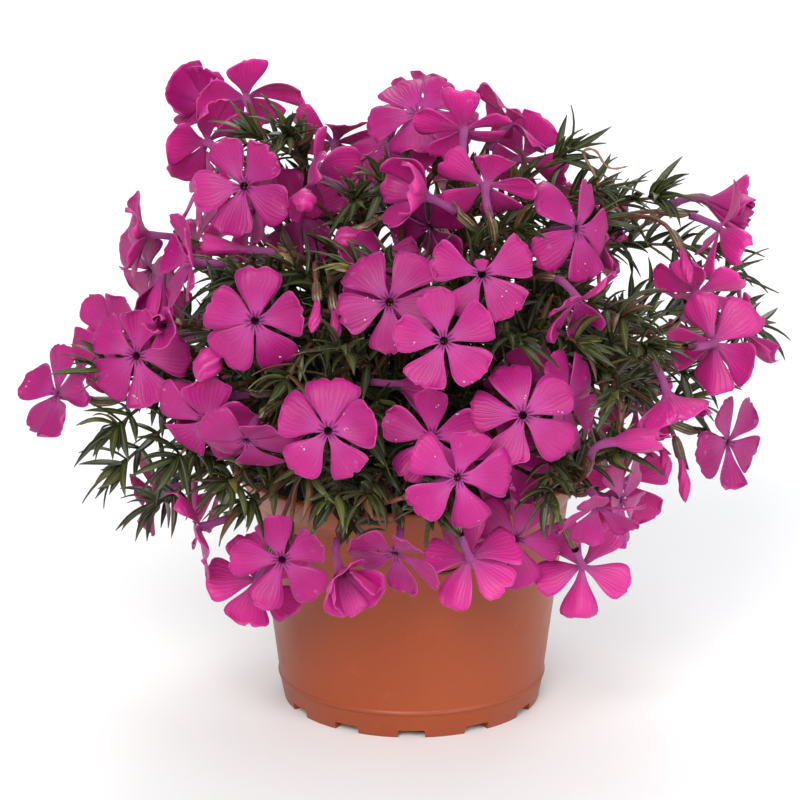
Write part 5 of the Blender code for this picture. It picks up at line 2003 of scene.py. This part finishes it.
@dataclass
class Foliage:
    """The needle leaves of one stem: those of its solid, and the finer ones that fill out its shoots.

    A field that ends in leaves or crown holds how many leaves a whorl has, their lean in degrees and their
    length, along a shoot or at its tip.
    """

    plant: Plant
    spray: Spray
    needle: bpy.types.Mesh
    chance: random.Random
    leaves: list = field(default_factory=list)
    twigs: list = field(default_factory=list)
    spacing: float = 4.9
    spacings: tuple = (0.8, 1.3)
    widths: tuple = (0.95, 1.4)
    lengths: tuple = (0.7, 1.15)
    whorl_width: float = 1.25
    point_width: float = 1.2
    # How much darker a leaf is drawn the lower and deeper in the clump it lies: painted shade, with painted
    # light high and outside
    tone_shares: tuple = (0.5, 0.4)
    painted_shade_drop: float = 0.35
    tone_spread: float = 0.2
    ball_radii: tuple = (0.55, 0.5, 0.42, 0.32, 0.2)
    ball_start: float = 0.3
    ball_step: float = 0.175
    room: float = 0.12
    angle_spread: float = 0.3
    lean_spread: float = 11.0
    rise: float = 0.18
    stem_leaves: tuple = (3, 52.0, 11.5)
    shoot_leaves: tuple = (4, 46.0, 11.0)
    shoot_crown: tuple = (5, 22.0, 9.0)
    twig_leaves: tuple = (4, 44.0, 10.5)
    twig_crown: tuple = (5, 20.0, 8.5)
    twig_count: int = 5
    twig_tries: int = 14
    twig_roots: tuple = (0.42, 0.97)
    twig_lengths: tuple = (11.0, 27.0)
    twig_spread: float = 0.75
    twig_middle: float = 70.0
    twig_rise: float = 0.35
    twig_low: float = 58.0
    twig_top: float = 12.0
    twig_out: float = 0.97
    twig_arch: float = 2.5
    twig_points: int = 7
    twig_step: float = 1.5
    twig_radius: float = 0.5
    twig_rooms: tuple = (0.15, 1.6)
    roll: float = 0.5
    bows: tuple = (0.02, 0.13)
    sway: float = 0.05

    def gather(self) -> None:
        """Takes over the leaves of the solid."""
        for shoot in self.spray.shoots:
            for whorl in shoot.whorls:
                place, _, _ = frame_at(shoot.path, whorl.distance)
                for tip in filter(None, whorl.tips):
                    self.keep(place, tip, LEAF_WIDTH * self.whorl_width)
            if shoot.point:
                end, _, _ = frame_at(shoot.path, path_length(shoot.path))
                self.keep(end, shoot.point, LEAF_WIDTH * self.point_width)

    def keep(self, base: Vector, tip: Vector, width: float) -> None:
        """Notes a leaf, lighter the higher and the further out its tip is: painted light at the top and outside
        of the clump, and painted shade low and deep in it, with some random spread.

        Args:
            base: Where it starts.
            tip: Where it ends.
            width: Its full width.
        """
        outward, upward = self.tone_shares
        # Painted shade low and deep in the clump, painted light high and outside
        out = math.hypot(tip.x, tip.y) / CROWN_RADIUS * outward + tip.z / CROWN_TOP * upward
        tone = min(max(out - self.painted_shade_drop + self.chance.gauss(0.0, self.tone_spread), 0.0), 1.0)
        self.leaves.append(Leaf(base, tip, tone, width))

    def try_leaf(self, base: Vector, direction: Vector, length: float) -> None:
        """Sets a leaf where it touches nothing.

        Args:
            base: Where it starts.
            direction: Which way it points.
            length: Its length.
        """
        end = base + direction * length
        if abs(end.x) > REACH_X - 1.0 or abs(end.y) > REACH_Y - 1.0 or end.z > CROWN_TOP:
            return
        radii = np.array(self.ball_radii)
        shares = [self.ball_start + self.ball_step * step for step in range(len(radii))]
        points = array_of([base.lerp(end, share) for share in shares])
        clearance = self.plant.clearance
        if min(clearance.room(points, radii, (self.spray.owner,)), pot_room(points, 0.5)) < self.room:
            return
        clearance.add(points, radii, self.spray.owner)
        self.keep(base, end, LEAF_WIDTH * self.chance.uniform(*self.widths))

    def clothe(self, path: list[Vector], span: tuple, count: int, lean: float, length: float) -> None:
        """Sets whorls of leaves along a stretch of a path.

        Args:
            path: The path.
            span: Where the first whorl is and where the stretch ends.
            count: Leaves of a whorl.
            lean: Angle between leaf and path in degrees.
            length: Their length.
        """
        distance, stop = span
        while distance < stop:
            place, heading, aside = frame_at(path, distance)
            turn = self.chance.uniform(0.0, math.tau)
            for number in range(count):
                angle = turn + math.tau * number / count + self.chance.gauss(0.0, self.angle_spread)
                leaned = math.radians(lean + self.chance.gauss(0.0, self.lean_spread))
                outward = around(heading, aside, angle)
                direction = heading * math.cos(leaned) + outward * math.sin(leaned)
                direction.z += self.rise
                self.try_leaf(place, direction.normalized(), length * self.chance.uniform(*self.lengths))
            distance += self.spacing * self.chance.uniform(*self.spacings)

    def fill_shoots(self) -> None:
        """Clothes the shoots of the solid between their whorls and at their tips."""
        for shoot in self.spray.shoots:
            length = path_length(shoot.path)
            self.clothe(shoot.path, (length * 0.2, length - 2.0), *self.shoot_leaves)
            self.clothe(shoot.path, (length - 2.0, length + 0.2), *self.shoot_crown)

    def fill_stem(self) -> None:
        """Clothes the stem above the soil."""
        path = self.spray.stem.path
        self.clothe(path, (HOLE_DEPTH + 12.0, path_length(path) * 0.99), *self.stem_leaves)

    def grow_twigs(self) -> None:
        """Grows short leafy side shoots from the stem, each clear of its neighbours."""
        stem = self.spray.stem.path
        length = path_length(stem)
        for _ in range(self.twig_count):
            best = (self.twig_rooms[0], None)
            for _ in range(self.twig_tries):
                root = point_at(stem, length * self.chance.uniform(*self.twig_roots))
                outward = Vector((root.x, root.y, self.twig_rise * (root.z - self.twig_middle)))
                outward = outward.normalized() if outward.length > 1.0 else Vector((0.0, 0.0, 1.0))
                drift = Vector(self.chance.gauss(0.0, self.twig_spread) for _ in range(3))
                end = root + (outward + drift).normalized() * self.chance.uniform(*self.twig_lengths)
                reach = math.hypot(end.x, end.y / CROWN_DEPTH) / crown_radius(end.z)
                if reach > self.twig_out or end.z > CROWN_TOP - self.twig_top or end.z < self.twig_low:
                    continue
                arch = root.lerp(end, 0.5) + Vector((0.0, 0.0, self.twig_arch))
                path = bezier([root, arch, end], self.twig_points)
                clear = [point for point in along(path, self.twig_step) if (point - root).length > START_SKIP]
                points = array_of(clear)
                room = self.plant.clearance.room(points, self.twig_radius, (self.spray.owner,))
                room = min(room, pot_room(points, 0.6))
                if room > best[0]:
                    best = (room, path)
                if room > self.twig_rooms[1]:
                    break
            if best[1]:
                self.twigs.append(best[1])
                self.plant.clearance.add(array_of(along(best[1], self.twig_step)), 0.45, self.spray.owner)

    def fill_twigs(self) -> None:
        """Clothes the side shoots."""
        for path in self.twigs:
            length = path_length(path)
            self.clothe(path, (2.5, length - 1.5), *self.twig_leaves)
            self.clothe(path, (length - 1.5, length + 0.2), *self.twig_crown)

    def build(self, piece: Piece) -> None:
        """Adds all the leaves to a piece, each a bent copy of the needle.

        Args:
            piece: The piece.
        """
        for leaf in self.leaves:
            reach = leaf.tip - leaf.base
            heading = reach.normalized()
            level = Vector((0.15, 0.1, 1.0)) if abs(heading.z) < 0.97 else Vector((1.0, 0.0, 0.0))
            up = in_plane(level, heading)
            side = heading.cross(up)
            roll = self.chance.gauss(0.0, self.roll)
            up, side = up * math.cos(roll) + side * math.sin(roll), side * math.cos(roll) - up * math.sin(roll)
            bow = reach.length * self.chance.uniform(*self.bows)
            sway = reach.length * self.chance.gauss(0.0, self.sway)
            for corner in piece.append(self.needle):
                x, y, z = corner.co
                arch = 4.0 * y * (1.0 - y)
                shift = x * leaf.width / 2.0 + sway * arch
                corner.co = leaf.base + reach * y + side * shift + up * (z * leaf.width / 2.0 + bow * arch)
                corner[piece.tones] = leaf.tone


@dataclass
class Stalks:
    """The stem, side shoots, stalks and calyces of one stem."""

    spray: Spray
    twigs: list
    chance: random.Random
    ring_step: float = 3.2
    knot: float = 1.12
    knot_every: int = 3
    stem_radii: tuple = (0.95, 0.75)
    shoot_radii: tuple = (0.6, 0.4)
    twig_radii: tuple = (0.5, 0.32)
    stalk_radii: tuple = (0.62, 0.55)
    calyx_sides: int = 10
    calyx_levels: tuple = ((1.0, 0.6), (0.92, 0.98), (0.7, 1.28), (0.35, 1.4), (0.15, 1.34), (0.0, 1.26))
    bud_calyx: float = 0.8
    tooth: float = 3.2
    tooth_reach: tuple = (1.45, 2.3)

    def run(self, piece: Piece, path: list[Vector], span: tuple, radii: tuple, sides: int, tone: float) -> None:
        """Draws a thin tube along a stretch of a path.

        Args:
            piece: The piece that it is added to.
            path: The path.
            span: Where the stretch starts and ends.
            radii: Its radius at either end.
            sides: Number of its sides.
            tone: Its tone, 0 red to 1 green.
        """
        start, end = span
        steps = max(2, round(abs(end - start) / self.ring_step))
        stops = []
        for number in range(steps + 1):
            share = number / steps
            radius = radii[0] + (radii[1] - radii[0]) * share
            knot = self.knot if number % self.knot_every == 1 else 1.0
            stops.append((start + (end - start) * share, radius * knot, 0.0))
        piece.tube(path, stops, sides, tone)

    def build(self, piece: Piece) -> None:
        """Adds the stem, shoots, stalks and calyces to a piece.

        Args:
            piece: The piece.
        """
        stem = self.spray.stem.path
        self.run(piece, stem, (-0.2, path_length(stem)), self.stem_radii, 8, 0.0)
        for shoot in self.spray.shoots:
            self.run(piece, shoot.path, (-0.3, path_length(shoot.path)), self.shoot_radii, 6, 0.5)
        for path in self.twigs:
            self.run(piece, path, (-0.3, path_length(path)), self.twig_radii, 5, 0.6)
        for placed, path in zip(self.spray.placed, self.spray.stalks):
            self.calyx(piece, placed, path)

    def calyx(self, piece: Piece, placed: PlacedBloom, path: list[Vector]) -> None:
        """Adds a ribbed calyx with five pointed teeth, and the stalk below it.

        Args:
            piece: The piece that it is added to.
            placed: Its bloom.
            path: The path of its stalk.
        """
        bud = placed.bloom.bud
        top = bud + 0.5 if bud else TUBE_LENGTH + 1.0
        length = CALYX_LENGTH * (self.bud_calyx if bud else 1.0)
        bottom = min(top + length - 1.0, path_length(path) - 1.5)
        stops = [(top + (bottom - top) * share, radius, 0.0) for share, radius in self.calyx_levels]
        spans = piece.tube(path, stops, self.calyx_sides, 0.0, 1)
        tip, heading, aside = frame_at(path, top - self.tooth)
        last = self.calyx_sides - 1
        for face in spans[-1]:
            if not face.is_valid:
                continue
            numbers = sorted({corner[piece.sides] for corner in face.verts})
            lowest = last if numbers[0] == 0 and numbers[-1] == last else numbers[0]
            if lowest % 2:
                continue
            angle = math.tau * (lowest + 0.5) / self.calyx_sides
            raised = bmesh.ops.poke(piece.maker, faces=[face])
            raised["verts"][0].co = tip + around(heading, aside, angle) * self.chance.uniform(*self.tooth_reach)
        self.run(piece, path, (bottom - 0.4, path_length(path) + ROOT_DEPTH), self.stalk_radii, 6, 0.15)


@dataclass
class Bud:
    """A closed bud, its petals rolled round each other to a point."""

    placed: PlacedBloom
    path: list
    chance: random.Random
    sides: int = 20
    lobe: float = 0.15
    twist: float = 2.5
    slim_lift: float = -50.0
    slim: tuple = (1.3, 0.02)
    full: tuple = (1.9, 0.12)
    neck: tuple = ((1.15, 0.8), (0.95, 0.85), (0.78, 0.95))
    body: tuple = ((0.62, 0.9), (0.45, 1.0), (0.28, 0.92), (0.15, 0.66), (0.05, 0.34))
    tip: tuple = ((0.0, 0.12),)

    def build(self, piece: Piece) -> None:
        """Adds the bud to a piece, a slim one where it hangs.

        Args:
            piece: The piece.
        """
        length = self.placed.bloom.bud
        least, growth = self.slim if self.placed.bloom.lift < self.slim_lift else self.full
        width = least + growth * length
        levels = self.neck + tuple((share, width * part) for share, part in self.body) + self.tip
        stops = [(share * length, radius, self.twist * share) for share, radius in levels]
        piece.tube(self.path, stops, self.sides, self.chance.uniform(0.2, 0.7), 1, self.lobe, 1.0)


@dataclass
class PottedPlant:
    """The whole plant, dressed stem by stem."""

    plant: Plant
    wardrobe: Wardrobe
    chance: random.Random
    wet: list = field(default_factory=list)
    blade_area: float = 0.6
    anther_chance: float = 0.5
    anther_count: int = 3
    anther_size: tuple = (0.14, 0.14, 0.24)
    anther_reach: float = 0.5
    anther_depths: tuple = (1.0, 1.9)

    def build(self) -> None:
        """Builds the three pieces of each stem."""
        needle = Needle().template()
        foliage = [Foliage(self.plant, spray, needle, self.chance) for spray in self.plant.sprays]
        steps = (Foliage.gather, Foliage.fill_shoots, Foliage.grow_twigs, Foliage.fill_twigs, Foliage.fill_stem)
        for step in steps:
            for one in foliage:
                step(one)
        for number, (spray, leafy) in enumerate(zip(self.plant.sprays, foliage)):
            self.build_spray(f"{number + 1:02d}", spray, leafy)
        bpy.data.meshes.remove(needle)
        log.info("%d leaves in all", sum(len(one.leaves) for one in foliage))

    def build_spray(self, number: str, spray: Spray, leafy: Foliage) -> None:
        """Builds the stems, foliage and corollas of one stem.

        Args:
            number: The stem's number as it stands in names.
            spray: The stem as laid out.
            leafy: Its leaves.
        """
        piece = Piece(f"stems_{number}")
        Stalks(spray, leafy.twigs, self.chance).build(piece)
        piece.finish(Slot.PHLOX, [self.wardrobe.stem, self.wardrobe.calyx], (spray.name,))
        piece = Piece(f"foliage_{number}")
        leafy.build(piece)
        piece.finish(Slot.PHLOX, [self.wardrobe.leaf], (spray.name,))
        piece = Piece(f"corollas_{number}")
        for placed, path in zip(spray.placed, spray.stalks):
            if placed.bloom.bud:
                Bud(placed, path, self.chance).build(piece)
                continue
            self.sprinkle(Corolla(placed, path, self.chance).build(piece))
            if self.chance.random() < self.anther_chance:
                self.add_anthers(piece, placed)
        piece.finish(Slot.PHLOX, [self.wardrobe.petal, self.wardrobe.back, self.wardrobe.pollen], (spray.name,))

    def sprinkle(self, front: list) -> None:
        """Notes places and directions on the front of a flower where drops of water lie.

        Args:
            front: The faces of the front.
        """
        blades = [face for face in front if face.calc_area() > self.blade_area]
        for _ in range(self.chance.randrange(0, 4)):
            first = self.chance.choice(blades)
            near = [other for edge in first.edges for other in edge.link_faces if other in blades]
            for _ in range(self.chance.randrange(1, 4)):
                face = self.chance.choice(near)
                corner = self.chance.choice(face.verts[:])
                spot = face.calc_center_median().lerp(corner.co, self.chance.uniform(0.0, 0.9))
                self.wet.append((spot, face.normal.copy()))

    def add_anthers(self, piece: Piece, placed: PlacedBloom) -> None:
        """Adds the small anthers that show in the throat.

        Args:
            piece: The piece that they are added to.
            placed: Their flower.
        """
        for number in range(self.anther_count):
            angle = math.tau * number / self.anther_count + self.chance.uniform(0.0, 1.0)
            radial = placed.radial(angle)
            depth = self.chance.uniform(*self.anther_depths)
            place = placed.centre + radial * self.anther_reach - placed.normal * depth
            for face in faces_of(piece.ball(place, Matrix.Identity(4), self.anther_size)):
                face.material_index = 2


@dataclass
class Pot:
    """The nursery pot: a moulded shell with a flared collar, a ring line, twelve feet and four drains."""

    steps: int = 120
    edge: float = 0.3
    edge_angle: float = 28.0
    sharp: float = 30.0
    notch_reach: float = 12.0
    notch_edge: float = 0.55
    drain_sides: int = 28
    drain_depth: float = 8.0

    def profile(self) -> list[tuple[float, float]]:
        """The line that is turned to the pot, from the middle of its floor and back to it.

        Returns:
            Radius and height of each corner.
        """
        collar = POT_HEIGHT - COLLAR_DROP
        top = FOOT_HEIGHT + FLOOR
        return [
            (0.0, FOOT_HEIGHT),
            (FOOT_RADIUS - FOOT_DEPTH, FOOT_HEIGHT),
            (FOOT_RADIUS - FOOT_DEPTH, 0.0),
            (FOOT_RADIUS, 0.0),
            (RING_RADIUS - 0.35, RING_HEIGHT - 0.25),
            (RING_RADIUS, RING_HEIGHT),
            (RING_RADIUS, RING_HEIGHT + 0.8),
            (RING_RADIUS - 0.3, RING_HEIGHT + 1.1),
            (COLLAR_RADIUS - 0.6, collar - 0.6),
            (COLLAR_RADIUS, collar),
            (RIM_RADIUS - 0.15, POT_HEIGHT - 1.2),
            (RIM_RADIUS, POT_HEIGHT - 0.6),
            (RIM_RADIUS - 0.4, POT_HEIGHT),
            (RIM_RADIUS - WALL, POT_HEIGHT),
            (COLLAR_RADIUS - WALL, collar),
            (FOOT_RADIUS - WALL, top),
            (0.0, top),
        ]

    def cutters(self) -> bpy.types.Object:
        """The notches between the feet and the drains, as one object.

        Returns:
            The object.
        """
        maker = bmesh.new()
        for number in range(FOOT_COUNT):
            angle = math.tau * number / FOOT_COUNT - math.pi / 2
            place = Matrix.Rotation(angle, 4, "Z") @ Matrix.Translation((FOOT_RADIUS, 0.0, 0.0))
            size = Matrix.Diagonal((self.notch_reach, NOTCH_WIDTH, (FOOT_HEIGHT - GAP) * 2, 1.0))
            corners = bmesh.ops.create_cube(maker, size=1.0, matrix=place @ size)["verts"]
            outward = place.to_3x3() @ Vector((1.0, 0.0, 0.0))
            edges = []
            for edge in edges_of(corners):
                first, second = edge.verts
                if abs((first.co - second.co).normalized().dot(outward)) > 0.9:
                    edges.append(edge)
            bevel(maker, edges, self.notch_edge, 4)
        for number in range(DRAINS):
            angle = math.tau * (number + 0.5) / DRAINS
            bmesh.ops.create_cone(
                maker,
                cap_ends=True,
                segments=self.drain_sides,
                radius1=DRAIN_RADIUS,
                radius2=DRAIN_RADIUS,
                depth=self.drain_depth,
                matrix=Matrix.Rotation(angle, 4, "Z") @ Matrix.Translation((DRAIN_REACH, 0.0, FOOT_HEIGHT)),
            )
        bmesh.ops.recalc_face_normals(maker, faces=maker.faces)
        bmesh.ops.transform(maker, matrix=Matrix.Scale(MM, 4), verts=maker.verts)
        return added("cutters", mesh_of(maker, "cutters"))

    def build(self, finish: bpy.types.Material) -> bpy.types.Object:
        """Turns the shell, rounds its edges and cuts it.

        Args:
            finish: Its material.

        Returns:
            The pot.
        """
        piece = Piece("pot_shell")
        piece.turn(self.profile(), self.steps)
        bmesh.ops.recalc_face_normals(piece.maker, faces=piece.maker.faces)
        least = math.radians(self.edge_angle)
        edges = [edge for edge in piece.maker.edges if edge.is_manifold and edge.calc_face_angle() > least]
        bevel(piece.maker, edges, self.edge, 2)
        pot = piece.finish(Slot.POT, [finish], ("pot",), self.sharp)
        cutter = self.cutters()
        boolean = pot.modifiers.new("Cut", "BOOLEAN")
        boolean.operation = "DIFFERENCE"
        boolean.solver = "EXACT"
        boolean.object = cutter
        graph = bpy.context.evaluated_depsgraph_get()
        cut = bpy.data.meshes.new_from_object(pot.evaluated_get(graph))
        pot.modifiers.remove(boolean)
        pot.data = cut
        bpy.data.objects.remove(cutter)
        shade(cut, self.sharp)
        return pot


@dataclass
class SoilBed:
    """The growing medium: a plug with an uneven, crumbly top."""

    chance: random.Random
    steps: int = 64
    rings: int = 26
    lift: float = 0.35
    roughness: float = 0.9
    rough_scale: float = 0.16
    bump_share: float = 0.8
    crumbs: int = 420
    crumb_sizes: tuple = (0.35, 1.25)
    crumb_margin: float = 1.5
    crumb_jitter: float = 0.12

    def height(self, x: float, y: float) -> float:
        """Height of the top at a place.

        Args:
            x: Its place to the right.
            y: Its place to the back.

        Returns:
            The height.
        """
        rough = noise.fractal(Vector((x * self.rough_scale, y * self.rough_scale, 3.0)), 0.8, 2.1, 4)
        wave = SOIL_BUMP * math.sin(x * SOIL_WAVES[0] + 1.0) * math.cos(y * SOIL_WAVES[1]) * self.bump_share
        return SOIL_TOP + self.lift + wave + self.roughness * rough

    def build(self, finish: bpy.types.Material) -> bpy.types.Object:
        """Makes the plug and scatters crumbs on it.

        Args:
            finish: Its material.

        Returns:
            The soil.
        """
        low = FOOT_HEIGHT + FLOOR + GAP
        collar = POT_HEIGHT - COLLAR_DROP
        room = WALL + GAP
        rim = COLLAR_RADIUS + (RIM_RADIUS - COLLAR_RADIUS) * (SOIL_TOP - collar) / COLLAR_DROP - room
        profile = [(0.0, low), (FOOT_RADIUS - room, low), (COLLAR_RADIUS - room, collar)]
        profile += [(rim * (1.0 - number / self.rings), SOIL_TOP) for number in range(self.rings + 1)]
        piece = Piece("soil_bed")
        piece.turn(profile, self.steps)
        for corner in piece.maker.verts:
            if corner.co.z > SOIL_TOP - 0.1:
                corner.co.z = self.height(corner.co.x, corner.co.y)
        for _ in range(self.crumbs):
            angle = self.chance.uniform(0.0, math.tau)
            spread = max(rim * math.sqrt(self.chance.random()) - self.crumb_margin, 0.0)
            x, y = spread * math.cos(angle), spread * math.sin(angle)
            size = self.chance.uniform(*self.crumb_sizes)
            place = Vector((x, y, self.height(x, y) + size * 0.25))
            turn = Matrix.Rotation(angle * 7.0, 4, "Z")
            for corner in piece.ball(place, turn, (size, size * 0.75, size * 0.6)):
                jitter = [self.chance.uniform(-self.crumb_jitter, self.crumb_jitter) for _ in range(3)]
                corner.co += Vector(jitter)
        return piece.finish(Slot.SOIL, [finish], ("soil",))


@dataclass
class Droplets:
    """Small drops of water on the petals."""

    wet: list
    chance: random.Random
    sizes: tuple = (0.12, 0.37)
    flatness: float = 0.6
    raised: float = 0.4

    def build(self, finish: bpy.types.Material) -> bpy.types.Object:
        """Sets a drop at each wet place.

        Args:
            finish: Their material.

        Returns:
            The drops.
        """
        piece = Piece("water_droplets")
        for place, normal in self.wet:
            size = self.chance.uniform(*self.sizes)
            turn = normal.to_track_quat("Z", "Y").to_matrix().to_4x4()
            spot = place + normal * size * self.flatness * self.raised
            piece.ball(spot, turn, (size, size, size * self.flatness))
        return piece.finish(Slot.PHLOX, [finish])


@dataclass
class Tendril:
    """A dried brown tendril that has caught on the tuft at the upper right.

    route holds the places in the front view that it runs through, and how far each is moved to the viewer.
    """

    spray: Spray
    tuft: int = 1
    radius: float = 0.5
    taper: float = 0.5
    ring_step: float = 0.9
    swell: float = 0.25
    swells: float = 2.1
    roundings: int = 2
    route: tuple = (
        (594.0, 172.0, 1.0),
        (586.0, 160.0, 2.0),
        (582.0, 151.0, 1.0),
        (590.0, 148.0, -1.0),
        (598.0, 152.0, -2.0),
        (602.0, 161.0, 0.0),
        (608.0, 168.0, 1.5),
        (617.0, 169.0, 1.0),
        (628.0, 166.0, 0.0),
    )

    def build(self, finish: bpy.types.Material) -> bpy.types.Object:
        """Draws the tendril from the tuft outwards.

        Args:
            finish: Its material.

        Returns:
            The tendril.
        """
        start = self.spray.shoots[self.tuft].path[-1]
        path = [start]
        for across, down, near in self.route:
            ray = sight(across, down)
            path.append(EYE + ray * ((start.y - near - EYE.y) / ray.y))
        for _ in range(self.roundings):
            middles = [a.lerp(b, share) for a, b in zip(path, path[1:]) for share in (0.25, 0.75)]
            path = [path[0], *middles, path[-1]]
        length = path_length(path)
        count = round(length / self.ring_step)
        stops = []
        for number in range(count + 1):
            share = number / count
            swell = 1.0 + self.swell * math.sin(number * self.swells)
            stops.append((length * share, self.radius * swell * (1.0 - self.taper * share), 0.0))
        piece = Piece("dried_tendril")
        piece.tube(path, stops, 6)
        return piece.finish(Slot.PHLOX, [finish])


@dataclass(frozen=True)
class Light:
    """A soft square light: its name, its place and side in metres, its power in watts and its colour."""

    name: str
    place: tuple
    size: float
    power: float
    colour: tuple

    def build(self, aim: Vector) -> None:
        """Adds the light, turned to a place in metres.

        Args:
            aim: The place.
        """
        data = bpy.data.lights.new(self.name, "AREA")
        data.size = self.size
        data.energy = self.power
        data.color = self.colour
        turn = (Vector(self.place) - aim).to_track_quat("Z", "Y").to_matrix().to_4x4()
        added(self.name, data).matrix_world = Matrix.Translation(self.place) @ turn


@dataclass(frozen=True)
class PlainFloor:
    """A plain pale floor."""

    name: str = "pale_floor"
    tint: tuple = (0.89, 0.89, 0.89, 1.0)

    def make(self) -> bpy.types.Material:
        """Mixes the material.

        Returns:
            The material.
        """
        recipe = Recipe(self.name, 0.9)
        recipe.colour(self.tint)
        recipe.value(Specular_IOR_Level=0.1)
        return recipe.material


@dataclass
class Studio:
    """The pale floor, the soft lights and the camera of the front view."""

    lens: float = 210.0
    sensor: float = 36.0
    floor_size: float = 12.0
    sky: tuple = (0.95, 0.97, 1.0, 1.0)
    sky_strength: float = 0.55
    aim: tuple = (0.0, 0.0, 0.09)
    lights: tuple = (
        Light("key_light", (-0.4, -1.75, 1.2), 0.9, 38.0, (1.0, 0.985, 0.965)),
        Light("fill_light", (1.4, -1.4, 0.7), 1.2, 17.0, (0.97, 0.985, 1.0)),
        Light("back_light", (0.2, 1.5, 1.6), 1.2, 24.0, (1.0, 1.0, 1.0)),
    )

    def add_camera(self) -> None:
        """Sets the camera where the front view is seen from."""
        data = bpy.data.cameras.new("front_camera")
        data.lens = self.lens
        data.sensor_width = self.sensor
        camera = added("front_camera", data)
        right, up, forward = view_axes()
        turn = Matrix((right, up, -forward)).transposed().to_4x4()
        camera.matrix_world = Matrix.Translation(EYE * MM) @ turn
        bpy.context.scene.camera = camera

    def add_sky(self) -> None:
        """Sets the even light from all round."""
        world = bpy.data.worlds.new("studio")
        world.use_nodes = True
        background = world.node_tree.nodes["Background"].inputs
        background["Color"].default_value = self.sky
        background["Strength"].default_value = self.sky_strength
        bpy.context.scene.world = world
        bpy.context.scene.view_settings.view_transform = "Standard"

    def add_floor(self) -> None:
        """Lays the floor."""
        maker = bmesh.new()
        bmesh.ops.create_grid(maker, x_segments=1, y_segments=1, size=self.floor_size / 2.0)
        mesh = mesh_of(maker, "floor")
        mesh.materials.append(PlainFloor().make())
        floor = added("floor", mesh)

    def build(self) -> None:
        """Sets up the whole studio."""
        self.add_camera()
        for light in self.lights:
            light.build(Vector(self.aim))
        self.add_sky()
        self.add_floor()


def main() -> None:
    """Builds the studio and the potted plant."""
    logging.basicConfig(level=logging.INFO, format="%(message)s", stream=sys.stdout)
    Studio().build()
    wardrobe = Wardrobe()
    chance = random.Random(SEED + 1)
    Pot().build(wardrobe.pot)
    SoilBed(chance).build(wardrobe.soil)
    plant = Plant()
    dressed = PottedPlant(plant, wardrobe, chance)
    dressed.build()
    Droplets(dressed.wet, chance).build(wardrobe.droplet)
    Tendril(plant.sprays[TENDRIL_SPRAY]).build(wardrobe.dried)


if __name__ == "__main__":
    main()
